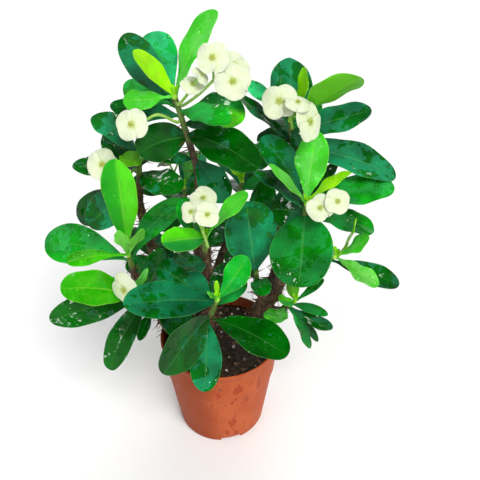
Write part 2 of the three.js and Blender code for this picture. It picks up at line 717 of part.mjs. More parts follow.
// A thin moulded shell that stands on its notched foot ring and on a flat disc in the middle.
function pot() {
  const rim = POT_RIM_RADIUS;
  const band = POT_BAND_RADIUS;
  const body = band - POT_STEP;
  const floor = FOOT_HEIGHT + POT_WALL;
  const hollow = POT_FOOT_RADIUS - FOOT_RING_WIDTH;
  const lip = POT_HEIGHT - RIM_LIP_HEIGHT;
  const outside = turned([
    [0, 0], [POT_FOOT_RADIUS - POT_EDGE, 0], [POT_FOOT_RADIUS, FOOT_CHAMFER], [body, POT_BAND_Z - 1],
    [band, POT_BAND_Z], [rim - RIM_LIP_REACH, lip - 1], [rim, lip], [rim - 0.3, POT_HEIGHT],
    [0, POT_HEIGHT],
  ], POT_SIDES);
  const inside = turned([
    [0, floor], [POT_FOOT_RADIUS - POT_WALL, floor], [body - POT_WALL, POT_BAND_Z - 1],
    [band - POT_WALL, POT_BAND_Z], [rim - POT_WALL, POT_HEIGHT + 1], [0, POT_HEIGHT + 1],
  ], POT_SIDES);
  const disc = BASE_DISC_RADIUS;
  const underside = turned([
    [disc, -1], [hollow, -1], [hollow - 0.8, FOOT_HEIGHT], [disc + 0.8, FOOT_HEIGHT], [disc, -1],
  ], POT_SIDES);
  let shell = solidOf(outside).subtract(solidOf(inside)).subtract(solidOf(underside));
  for (let k = 0; k < FOOT_NOTCHES; k++) {
    const notch = new THREE.BoxGeometry(FOOT_RING_WIDTH + 6, FOOT_NOTCH_WIDTH, FOOT_HEIGHT + 1);
    notch.translate(hollow + FOOT_RING_WIDTH / 2, 0, (FOOT_HEIGHT - 1) / 2);
    notch.rotateZ(rad(FOOT_NOTCH_ANGLE + (360 / FOOT_NOTCHES) * k));
    shell = shell.subtract(solidOf(notch));
  }
  return shell;
}

// The soil fills the pot to a little below the rim, uneven on top, with a plain hole per trunk.
function soil() {
  const floor = FOOT_HEIGHT + POT_WALL + FIT_GAP;
  const clear = POT_WALL + FIT_GAP;
  const slope = (POT_RIM_RADIUS - POT_BAND_RADIUS) / (POT_HEIGHT + 1 - POT_BAND_Z);
  const edge = POT_BAND_RADIUS + slope * (SOIL_TOP - POT_BAND_Z) - clear;
  const fill = turned([
    [0, floor], [POT_FOOT_RADIUS - clear - SOIL_MARGIN, floor],
    [POT_BAND_RADIUS - POT_STEP - clear - SOIL_MARGIN, POT_BAND_Z - 1], [edge, SOIL_TOP - 1],
    [edge * 0.7, SOIL_TOP], [edge * 0.35, SOIL_TOP], [0, SOIL_TOP],
  ], SOIL_SIDES);
  const place = fill.attributes.position;
  for (let i = 0; i < place.count; i++) {
    const [x, y, z] = [place.getX(i), place.getY(i), place.getZ(i)];
    const heave = Math.sin(0.11 * x + 1) * Math.cos(0.13 * y) + 0.6 * Math.sin(0.21 * x - 0.17 * y);
    if (z > SOIL_TOP - 2) place.setZ(i, z + SOIL_RELIEF * heave);
  }
  let body = solidOf(fill);
  for (const { base } of Object.values(trunks)) {
    const [[x, y, z, radius], [x2, y2, z2, radius2]] = base;
    const hole = limb([
      [x, y, z - FIT_GAP, radius + HOLE_MARGIN], [x2, y2, z2, radius2 + HOLE_MARGIN],
      [x2, y2, z2 + 12, radius2 + HOLE_MARGIN],
    ], HOLE_SIDES);
    body = body.subtract(hole);
  }
  return body;
}

// A limb's path ends just short of its shoot, square to the shoot's own direction.
function limbsOf({ base, ...carried }) {
  const ends = Object.entries(carried).map(([name, path]) => {
    const shoot = shootNamed(name);
    const length = shootLength(shoot);
    const near = pointBelowTip(shoot, length + LIMB_JOIN);
    const end = pointBelowTip(shoot, length + FIT_GAP);
    return [...path, [...near.toArray(), LIMB_JOIN_RADIUS], [...end.toArray(), LIMB_END_RADIUS]];
  });
  return [base, ...ends];
}

function trunk(parts, seed, nearby) {
  const limbs = limbsOf(parts);
  const wood = limbs.map((path) => limb(path, LIMB_SIDES));
  return fuse([...wood, ...thornsOn(limbs, seededRandom(seed), nearby)]);
}

function meshFrom(name, solid, { color, roughness }) {
  const { vertProperties, triVerts, numProp } = solid.getMesh();
  const position = [];
  for (let i = 0; i < vertProperties.length; i += numProp) {
    position.push(vertProperties[i], vertProperties[i + 1], vertProperties[i + 2]);
  }
  const geometry = new THREE.BufferGeometry();
  geometry.setAttribute("position", new THREE.Float32BufferAttribute(position, 3));
  geometry.setIndex(Array.from(triVerts));
  geometry.computeVertexNormals();
  const material = new THREE.MeshStandardMaterial({ color, roughness, metalness: 0 });
  const mesh = new THREE.Mesh(geometry, material);
  mesh.name = name;
  return mesh;
}

const plant = new THREE.Group();
plant.name = "potted_euphorbia";
plant.add(meshFrom("pot", pot(), colours.pot));
plant.add(meshFrom("soil", soil(), colours.soil));

// What the thorns have to keep clear of.
const growth = [pot()];
for (const shoot of shoots) {
  const grown = leafyStem(shoot);
  growth.push(grown);
  plant.add(meshFrom(`leaves_${shoot.name}`, grown, colours.mature));
  if (shoot.young.length) {
    const tuft = youngTuft(shoot);
    growth.push(tuft);
    plant.add(meshFrom(`tips_${shoot.name}`, tuft, colours.young));
  }
}
for (const spec of blooms) {
  const solid = bloom(spec);
  growth.push(solid);
  plant.add(meshFrom(`bloom_${spec.name}`, solid, colours.bloom));
}
Object.entries(trunks).forEach(([side, limbs], i) => {
  plant.add(meshFrom(`trunk_${side}`, trunk(limbs, 11 + i, growth), colours.bark));
});

export default plant;
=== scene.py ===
# A potted crown of thorns: wet dark leaves, bright young leaves and cream paired bracts on thorny stems.
# Sizes in the dictionaries are millimetres and degrees, as measured on the plant; mm turns them to metres.
import math
import random

import bpy
import numpy as np
from mathutils import Matrix, Vector, noise


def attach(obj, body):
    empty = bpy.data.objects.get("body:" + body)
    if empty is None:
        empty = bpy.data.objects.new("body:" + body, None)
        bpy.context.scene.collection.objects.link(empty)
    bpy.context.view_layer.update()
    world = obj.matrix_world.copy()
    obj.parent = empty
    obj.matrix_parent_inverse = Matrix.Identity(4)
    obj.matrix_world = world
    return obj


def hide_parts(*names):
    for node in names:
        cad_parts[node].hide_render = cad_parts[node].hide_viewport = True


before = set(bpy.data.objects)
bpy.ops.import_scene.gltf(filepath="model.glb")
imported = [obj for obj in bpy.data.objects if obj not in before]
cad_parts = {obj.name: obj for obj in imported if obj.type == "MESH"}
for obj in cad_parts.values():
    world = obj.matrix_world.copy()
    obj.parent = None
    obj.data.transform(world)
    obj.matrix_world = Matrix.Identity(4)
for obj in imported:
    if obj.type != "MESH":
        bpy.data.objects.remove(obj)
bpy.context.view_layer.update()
mm = 0.001


def colour(hexText, alpha=1.0):
    channels = [int(hexText[i:i + 2], 16) / 255 for i in (1, 3, 5)]
    linear = [c / 12.92 if c <= 0.04045 else ((c + 0.055) / 1.055) ** 2.4 for c in channels]
    return (*linear, alpha)


class TreeMaker:
    # Adds nodes to one tree. Each method gives the output of its new node, for the next node to take in.
    def __init__(self, tree):
        self.tree = tree

    def plug(self, node, inputs):  # sockets are linked, plain values are set
        for key, value in inputs.items():
            if isinstance(value, bpy.types.NodeSocket):
                self.tree.links.new(value, node.inputs[key])
            else:
                node.inputs[key].default_value = value
        return node

    def add(self, kind, inputs=None, **settings):
        node = self.tree.nodes.new(kind)
        for key, value in settings.items():
            setattr(node, key, value)
        return self.plug(node, inputs or {})

    def out(self, kind, inputs=None, key=0, **settings):
        return self.add(kind, inputs, **settings).outputs[key]

    def mix(self, share, first, second):
        return self.out("ShaderNodeMix", {0: share, 6: first, 7: second}, 2, data_type="RGBA")

    def math(self, operation, *values):
        return self.out("ShaderNodeMath", dict(enumerate(values)), operation=operation)

    def plus(self, first, second):
        return self.math("ADD", first, second)

    def minus(self, first, second):
        return self.math("SUBTRACT", first, second)

    def times(self, first, second):
        return self.math("MULTIPLY", first, second)

    def scaled(self, value, factor, shift):
        return self.math("MULTIPLY_ADD", value, factor, shift)

    def ranged(self, *values):  # a value, its low and high, and what a smooth step makes of them
        inputs = dict(enumerate(values))
        return self.out("ShaderNodeMapRange", inputs, interpolation_type="SMOOTHSTEP")

    def place(self):
        return self.out("ShaderNodeTexCoord", key="Object")

    def noise(self, size, detail=2.0, roughness=0.5, rise=1.0):  # size in mm; under 1, rise draws it out
        spot = self.out("ShaderNodeMapping", {"Vector": self.place(), "Scale": (1, 1, rise)})
        inputs = {"Vector": spot, "Scale": 1 / (size * mm), "Detail": detail, "Roughness": roughness}
        return self.out("ShaderNodeTexNoise", inputs)

    def bump(self, height, distance, strength=1.0):
        return self.out("ShaderNodeBump", {"Height": height, "Distance": distance * mm, "Strength": strength})


def newMaterial(name):
    material = bpy.data.materials.new(name)
    material.use_nodes = True
    return material, TreeMaker(material.node_tree)


def dress(material, tree, sockets):
    tree.plug(material.node_tree.nodes["Principled BSDF"], sockets)
    return material


def leafMaterial(name, look):
    # Living leaf blade under water drops: a waxy cuticle, dull where dry and mirror-like where wet.
    material, tree = newMaterial(name)
    dry, wet, wetShare, under = [tree.out("ShaderNodeAttribute", key=key, attribute_name=attribute)
                                 for attribute, key in (("dryColour", "Color"), ("wetColour", "Color"),
                                                        ("wetShare", "Fac"), ("underside", "Fac"))]
    spot = tree.add("ShaderNodeSeparateXYZ", {0: tree.out("ShaderNodeUVMap", uv_map="blade")})
    across, along = spot.outputs[:2]
    out = tree.math("ABSOLUTE", tree.scaled(across, 2.0, -1.0))

    # the film of water lies in patches on the upper face and gathers towards the tip
    patches = tree.noise(look["patchSize"], 4.0, 0.62)
    level = tree.minus(tree.plus(tree.scaled(along, look["tipPull"], wetShare), patches), look["dryLevel"])
    topWet = tree.times(tree.ranged(level, -0.03, 0.02), tree.minus(1.0, under))

    mottle = tree.noise(look["mottleSize"], 4.0, 0.55)
    powder = tree.noise(look["powderSize"], 2.0, 0.6)
    # painted reflection: the dry colour holds a bluish sheen of sky, and the water patches show the darker
    # wet colour in its place
    blade = tree.mix(topWet, dry, wet)
    blade = tree.mix(tree.ranged(mottle, 0.4, 0.75, 0.0, look["mottleShow"]), blade, wet)
    cloud = tree.ranged(tree.noise(look["cloudSize"]), 0.3, 0.7, 1 - look["cloudShow"], 1 + look["cloudShow"])
    dust = tree.scaled(tree.minus(powder, 0.5), look["powderShow"], 1.0)
    dust = tree.out("ShaderNodeMix", {0: topWet, 2: dust, 3: 1.0}, data_type="FLOAT")
    light = tree.times(cloud, dust)
    blade = tree.out("ShaderNodeVectorMath", {0: blade, "Scale": light}, operation="SCALE")

    # side veins leave the midrib at a slant and fade towards the margin
    slant = tree.minus(along, tree.times(out, look["veinSlant"]))
    waves = tree.times(tree.scaled(mottle, 0.05, slant), look["veins"] * 2 * math.pi)
    vein = tree.times(tree.ranged(tree.math("SINE", waves), 0.86, 1.0), tree.ranged(out, 0.95, 0.3))
    ribWidth = tree.scaled(along, -look["rib"] * 0.7, look["rib"])
    rib = tree.ranged(tree.math("DIVIDE", out, ribWidth), 1.0, 0.35)
    ribShare = tree.ranged(wetShare, 0.4, 0.8, look["ribShow"], look["ribShow"] * 0.3)
    edge = tree.times(tree.ranged(out, 0.955, 0.99), look["edgeShow"])
    pale = tree.math("MAXIMUM", tree.times(rib, ribShare), edge)
    pale = tree.math("MAXIMUM", tree.times(vein, look["veinShow"]), pale)
    blade = tree.mix(pale, blade, colour(look["ribTint"]))
    blade = tree.mix(tree.times(under, 0.45), blade, colour(look["underTint"]))

    # the film is rippled, most of all at the tip, and the ribs are pressed in
    film = tree.times(tree.noise(look["rippleSize"], 1.0, 0.4), tree.ranged(along, 0.25, 0.8, 0.3, 1.0))
    relief = tree.scaled(tree.times(film, topWet), look["filmHeight"], powder)
    relief = tree.scaled(tree.times(powder, topWet), -0.95, relief)
    relief = tree.minus(tree.scaled(topWet, 0.2, relief), tree.times(pale, 0.3))
    shine = tree.scaled(topWet, look["wetRoughness"] - look["dryRoughness"], look["dryRoughness"])
    return dress(material, tree, {
        "Base Color": blade, "Roughness": tree.plus(shine, tree.times(mottle, 0.06)), "IOR": 1.42,
        "Specular IOR Level": look["specular"], "Subsurface Weight": look["glow"],
        "Subsurface Radius": (0.4, 1.0, 0.2), "Subsurface Scale": 0.6 * mm,
        "Normal": tree.bump(relief, look["relief"])})


grownLook = {
    "patchSize": 15, "tipPull": 0.14, "dryLevel": 1.07, "mottleSize": 5, "mottleShow": 0.25,
    "cloudSize": 26, "cloudShow": 0.4, "powderSize": 1.1, "powderShow": 0.5, "rippleSize": 9,
    "filmHeight": 2.0, "relief": 1.0, "veins": 9, "veinSlant": 0.34, "veinShow": 0.035, "rib": 0.08,
    "ribShow": 0.2, "edgeShow": 0.3, "ribTint": "#6CC05E", "underTint": "#2E7A34",
    "wetRoughness": 0.08, "dryRoughness": 0.45, "specular": 0.25, "glow": 0.0,
}
youngLook = {  # what differs on a young leaf
    **grownLook, "patchSize": 16, "mottleSize": 7, "mottleShow": 0.2, "cloudSize": 30, "cloudShow": 0.16,
    "powderSize": 1.4, "powderShow": 0.1, "filmHeight": 1.0, "relief": 0.2, "veins": 8, "veinSlant": 0.3,
    "veinShow": 0.05, "rib": 0.1, "ribShow": 0.25, "edgeShow": 0.35, "ribTint": "#B8EC52",
    "underTint": "#66C428", "wetRoughness": 0.18, "dryRoughness": 0.42, "glow": 0.25,
}


def barkMaterial():
    # Euphorbia bark: green and smooth on young wood, grey-brown, corky and lined on old wood.
    material, tree = newMaterial("euphorbiaBark")
    age = tree.out("ShaderNodeAttribute", key="Fac", attribute_name="age")
    cork = tree.noise(1.6, 5.0, 0.65, 0.35)
    blotch = tree.noise(9, 3.0, 0.6)
    wood = tree.mix(tree.ranged(blotch, 0.4, 0.65), colour("#46301F"), colour("#6E5638"))
    wood = tree.mix(tree.ranged(cork, 0.52, 0.38, 0.0, 0.85), wood, colour("#160E08"))
    green = tree.mix(tree.ranged(cork, 0.35, 0.65), colour("#4A6A1E"), colour("#6E8A34"))
    level = tree.plus(age, tree.scaled(blotch, 0.5, -0.25))
    return dress(material, tree, {
        "Base Color": tree.mix(tree.ranged(level, 0.35, 0.65), green, wood),
        "Roughness": tree.ranged(level, 0.2, 0.8, 0.45, 0.85), "Normal": tree.bump(cork, 0.7, 0.9)})


def bractMaterial():
    # Bract: a soft, thin, petal-like leaf, cream with a greener heart and faint veins.
    material, tree = newMaterial("creamBract")
    spot = tree.add("ShaderNodeSeparateXYZ", {0: tree.out("ShaderNodeUVMap", uv_map="blade")})
    turn, reach = spot.outputs[:2]
    fine = tree.noise(3, 3.0)

    # veins fan out from the heart, where the bract is greener
    rays = tree.math("SINE", tree.times(tree.scaled(fine, 0.03, turn), 150))
    vein = tree.times(tree.ranged(rays, 0.5, 1.0), tree.ranged(reach, 1.0, 0.3, 0.0, 0.2))
    skin = tree.mix(tree.ranged(fine, 0.35, 0.7), colour("#E3EAC8"), colour("#DAE4B6"))
    skin = tree.mix(vein, skin, colour("#C2D486"))
    heart = tree.times(tree.ranged(reach, 0.42, 0.08), 0.6)
    return dress(material, tree, {
        "Base Color": tree.mix(heart, skin, colour("#B9CE6C")), "Roughness": 0.55, "Subsurface Weight": 0.3,
        "Subsurface Radius": (1.0, 0.9, 0.5), "Subsurface Scale": 1.0 * mm,
        "Normal": tree.bump(tree.plus(vein, fine), 0.25, 0.6)})


def potMaterial():
    # Thin injection-moulded polypropylene, terracotta orange: satin, with damp stains and limy bloom.
    material, tree = newMaterial("terracottaPolypropylene")
    cloud = tree.noise(38, 3.0, 0.55)
    streak = tree.noise(2.4, 2.0, 0.5, 0.06)
    side = tree.out("ShaderNodeSeparateXYZ", {0: tree.place()}, "X")
    stain = tree.plus(tree.noise(9, 3.0, 0.5, 0.45), tree.ranged(side, -10 * mm, 30 * mm, -0.06, 0.03))
    tint = tree.mix(tree.ranged(cloud, 0.35, 0.7), colour("#AE4E28"), colour("#BA5A32"))
    tint = tree.mix(tree.ranged(streak, 0.35, 0.7, 0.0, 0.3), tint, colour("#C06A44"))

    # painted shade darkens the wall on its left side, and damp stains lie mostly on its right
    leftPaintedShade = tree.ranged(tree.scaled(cloud, 30 * mm, side), 22 * mm, -8 * mm, 0.0, 0.85)
    tint = tree.mix(leftPaintedShade, tint, colour("#8E3E1E"))
    return dress(material, tree, {
        "Base Color": tree.mix(tree.ranged(stain, 0.615, 0.63, 0.0, 0.85), tint, colour("#9A3608")),
        "Roughness": tree.ranged(stain, 0.615, 0.63, 0.55, 0.35), "Specular IOR Level": 0.1,
        "Normal": tree.bump(tree.noise(1.1), 0.06, 0.6)})


def mixMaterial():
    # Moist peat and bark potting mix: almost black, crumbly, with a few shining wet crumbs.
    material, tree = newMaterial("moistPottingMix")
    crumb = tree.noise(2.2, 5.0, 0.7)
    cells = tree.out("ShaderNodeTexVoronoi", {"Vector": tree.place(), "Scale": 1 / (3.4 * mm)}, "Distance")
    return dress(material, tree, {
        "Base Color": tree.mix(tree.ranged(crumb, 0.35, 0.7), colour("#1D1510"), colour("#4B3626")),
        "Roughness": tree.ranged(crumb, 0.45, 0.75, 0.9, 0.45),
        "Normal": tree.bump(tree.minus(crumb, cells), 1.6)})


def twoTone(name, size, detail, span, tones, sockets, relief=None):  # one noise fades two tones together
    material, tree = newMaterial(name)
    tone = tree.noise(size, detail)
    share = tree.ranged(tone, *span) if span else tone
    dress(material, tree, {"Base Color": tree.mix(share, *map(colour, tones)), **sockets})
    return dress(material, tree, {"Normal": tree.bump(tone, *relief)}) if relief else material


finishes = {
    "grown": leafMaterial("grownLeafCuticle", grownLook), "young": leafMaterial("youngLeafBlade", youngLook),
    "bark": barkMaterial(), "bract": bractMaterial(), "pot": potMaterial(), "mix": mixMaterial(),
    # horny thorn: hard and half dull, streaked in two browns
    "thorn": twoTone("thornHorn", 2.5, 2.0, (0.35, 0.65), ("#46281A", "#704830"), {"Roughness": 0.5}),
    # nectar glands and cup: fleshy, yellow-green and slightly wet
    "gland": twoTone("nectarGland", 1.2, 2.0, None, ("#C6CC62", "#A3B84A"), {
        "Roughness": 0.3, "Subsurface Weight": 0.2, "Subsurface Scale": 0.6 * mm}),
    # flower stalk: smooth, fresh and slightly sticky, yellow-green
    "stalk": twoTone("flowerStalk", 6, 3.0, (0.35, 0.65), ("#86BA44", "#A6CC62"), {"Roughness": 0.35}),
    # bark chips and fibres: damp brown wood with a paler broken face
    "chip": twoTone("barkChip", 5, 3.0, (0.4, 0.6), ("#3A281B", "#6E4E34"), {"Roughness": 0.75}),
    # expanded volcanic glass: chalky white grains, stained pinkish by the peat
    "perlite": twoTone("perlite", 4, 3.0, (0.35, 0.65), ("#F2E4DA", "#B99C8C"), {"Roughness": 0.8},
                       (0.3, 0.5)),
    # drops of water left by spraying: clear, with the refraction of water
    "water": twoTone("waterDrop", 8, 2.0, None, ("#FFFFFF", "#F4FBF6"), {
        "Roughness": 0.0, "IOR": 1.333, "Transmission Weight": 1.0}),
    # studio paper: matt and off-white
    "paper": twoTone("studioPaper", 2.5, 2.0, None, ("#F4F4F3", "#F8F8F7"), {
        "Roughness": 0.9, "Specular IOR Level": 0.1}),
}
print("materials made:", len(finishes))


def fullTurn(sides):
    return np.linspace(0, 2 * math.pi, sides, endpoint=False)


def heading(azimuth, rise):
    azimuth, rise = math.radians(azimuth), math.radians(rise)
    return np.array([math.cos(rise) * math.cos(azimuth), math.cos(rise) * math.sin(azimuth), math.sin(rise)])


def unit(vector):
    return vector / np.linalg.norm(vector)


def turned(vector, axis, angle):
    return np.array(Matrix.Rotation(math.radians(angle), 3, Vector(axis)) @ Vector(vector))


def ringOf(centre, first, second, radius, sides, start=0.0):
    turns = fullTurn(sides)[:, None] + start
    return np.array(centre) + (np.array(first) * np.cos(turns) + np.array(second) * np.sin(turns)) * radius


def levelRing(height, radius, sides):
    return ringOf((0, 0, height), (1, 0, 0), (0, 1, 0), radius, sides)


def skinOf(rings, slot=0, **values):  # rings of points to a closed shell whose faces point out
    rings = np.array(rings)
    count, sides, _ = rings.shape
    index = np.arange(count * sides).reshape(count, sides)
    after = np.roll(index, -1, axis=1)
    quads = np.stack([index[:-1], after[:-1], after[1:], index[1:]], -1).reshape(-1, 4)
    points = np.concatenate([rings.reshape(-1, 3), rings[[0, -1]].mean(1)])
    low, high = count * sides, count * sides + 1
    faces = [tuple(quad) for quad in quads] + [(low, b, a) for a, b in zip(index[0], after[0])]
    faces += [(high, a, b) for a, b in zip(index[-1], after[-1])]
    p = points[quads]
    volume = np.einsum("ij,ij->i", p[:, 0], np.cross(p[:, 1], p[:, 2]) + np.cross(p[:, 2], p[:, 3])).sum()
    if volume < 0:
        faces = [face[::-1] for face in faces]
    shell = {"points": points, "faces": faces, "slot": slot}
    for name, grid in values.items():  # a grid may be one ring or one column wide
        grid = np.broadcast_to(grid, (count, sides, grid.shape[-1]))
        shell[name] = np.concatenate([grid.reshape(count * sides, -1), grid[[0, -1]].mean(1)])
    return shell


def placed(name, data):
    made = bpy.data.objects.new(name, data)
    bpy.context.scene.collection.objects.link(made)
    return made


def objectFrom(name, shells, *materials):
    faces, offset, slots = [], 0, []
    for shell in shells:
        faces += [tuple(i + offset for i in face) for face in shell["faces"]]
        slots += [shell["slot"]] * len(shell["faces"])
        offset += len(shell["points"])
    mesh = bpy.data.meshes.new(name)
    points = np.concatenate([shell["points"] for shell in shells])
    mesh.from_pydata([tuple(p) for p in points * mm], [], faces)
    for material in materials:
        mesh.materials.append(finishes[material])
    mesh.polygons.foreach_set("material_index", slots)
    mesh.polygons.foreach_set("use_smooth", [True] * len(faces))
    keys = {key: s[key].shape[1] for s in shells for key in s if key not in ("points", "faces", "slot")}
    for key, wide in keys.items():
        data = [shell.get(key, np.zeros((len(shell["points"]), wide))) for shell in shells]
        data = np.concatenate(data).astype(np.float32)
        if key == "uv":
            corners = np.empty(len(mesh.loops), dtype=np.int32)
            mesh.loops.foreach_get("vertex_index", corners)
            mesh.uv_layers.new(name="blade").data.foreach_set("uv", data[corners].ravel())
        else:
            kind, field = ("FLOAT", "value") if wide == 1 else ("FLOAT_COLOR", "color")
            mesh.attributes.new(key, kind, "POINT").data.foreach_set(field, data.ravel())
    mesh.validate()
    return placed(name, mesh)


def tubeOf(path, radii, sides, slot=0, age=None, lumps=0.0, seed=0):  # a round limb along smooth points
    across = np.array([1.0, 0.2, 0.1])
    rings = []
    for i, point in enumerate(path):
        along = unit(path[min(i + 1, len(path) - 1)] - path[max(i - 1, 0)])
        across = unit(across - along * across.dot(along))
        ring = ringOf(point, across, np.cross(along, across), radii[i], sides)
        for k in range(sides if lumps else 0):
            out = (ring[k] - point) / radii[i]
            swell = noise.noise(Vector(point * 0.12 + out * 0.7) + Vector((seed, 0, 0)))
            ring[k] += out * radii[i] * lumps * swell
        rings.append(ring)
    return skinOf(rings, slot, **({} if age is None else {"age": age[:, None, None]}))


def smoothPath(points, steps):  # Catmull-Rom through points of three or four numbers
    p = [np.array(q, float) for q in points]
    p = [2 * p[0] - p[1], *p, 2 * p[-1] - p[-2]]
    path = []
    for a, b, c, d in zip(p, p[1:], p[2:], p[3:]):
        for t in np.arange(steps) / steps:
            path.append(0.5 * (2 * b + (c - a) * t + (2 * a - 5 * b + 4 * c - d) * t * t
                               + (3 * b - a - 3 * c + d) * t ** 3))
    path.append(p[-2])
    return np.array(path)


def finish(piece, slotName, *nodes):
    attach(piece, "root")
    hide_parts(*nodes)
    return piece


def bakeModifiers(piece):  # the evaluated mesh becomes the piece's own, with no modifier left
    graph = bpy.context.evaluated_depsgraph_get()
    result = bpy.data.meshes.new_from_object(piece.evaluated_get(graph), depsgraph=graph)
    result.name = piece.name
    piece.modifiers.clear()
    piece.data = result
    return piece


# each limb's points are x, y, z and radius, and a limb is named for the shoot that it carries
trunks = {
    "left": {
        "base": [[-46, 8, 84, 7], [-49, 7, 110, 7], [-58, 0, 140, 6.5], [-61, -6, 165, 6]],
        "low_left": [[-59, -3, 148, 5], [-60, -12, 157, 4.5]],
        "side_left": [[-61, -6, 163, 5.5], [-70, -11, 190, 4.5]],
        "upper_left": [[-61, -6, 163, 5.5], [-61, 6, 205, 5], [-67, 8, 245, 4.5]],
        "back_low_left": [[-55, 4, 128, 5], [-52, 28, 141, 4.2]],
    },
    "middle": {
        "base": [[-12, 10, 84, 8], [-12, 10, 110, 8], [-12, 4, 140, 7], [-13, 2, 178, 6.5]],
        "crown_left": [[-13, 2, 175, 6.3], [-12, 6, 230, 5.5], [-14, 4, 280, 4.8]],
        "low_front": [[-13, 6, 128, 5], [-13, -14, 146, 4.2]],
        "mid_front": [[-13, 3, 190, 5], [-11, -9, 216, 4.2]],
        "back_upper_left": [[-13, 2, 172, 5.5], [-22, 32, 203, 4.4]],
        "back_upper_mid": [[-13, 4, 158, 5.5], [0, 36, 188, 4.4]],
        "back_low_mid": [[-13, 8, 122, 5], [-4, 42, 137, 4.2]],
    },
    "right": {
        "base": [[36, 25, 84, 10], [38, 26, 112, 10], [47, 24, 138, 9.5], [58, 18, 164, 8.5]],
        "side_right": [[58, 18, 162, 7.5], [67, 6, 200, 6], [76, -6, 235, 5]],
        "crown_right": [[58, 18, 162, 7], [64, 30, 210, 6], [63, 34, 265, 5], [66, 22, 300, 4.3]],
        "far_right": [[62, 14, 182, 5.5], [81, -6, 208, 4.5]],
        "mid_right": [[53, 21, 150, 5.5], [44, 0, 174, 4.4]],
        "low_right": [[44, 25, 124, 4.6], [57, 24, 131, 4.2]],
        "back_right": [[58, 18, 160, 6.5], [68, 42, 190, 5]],
        "back_low_right": [[45, 26, 128, 6], [52, 48, 137, 4.4]],
    },
}

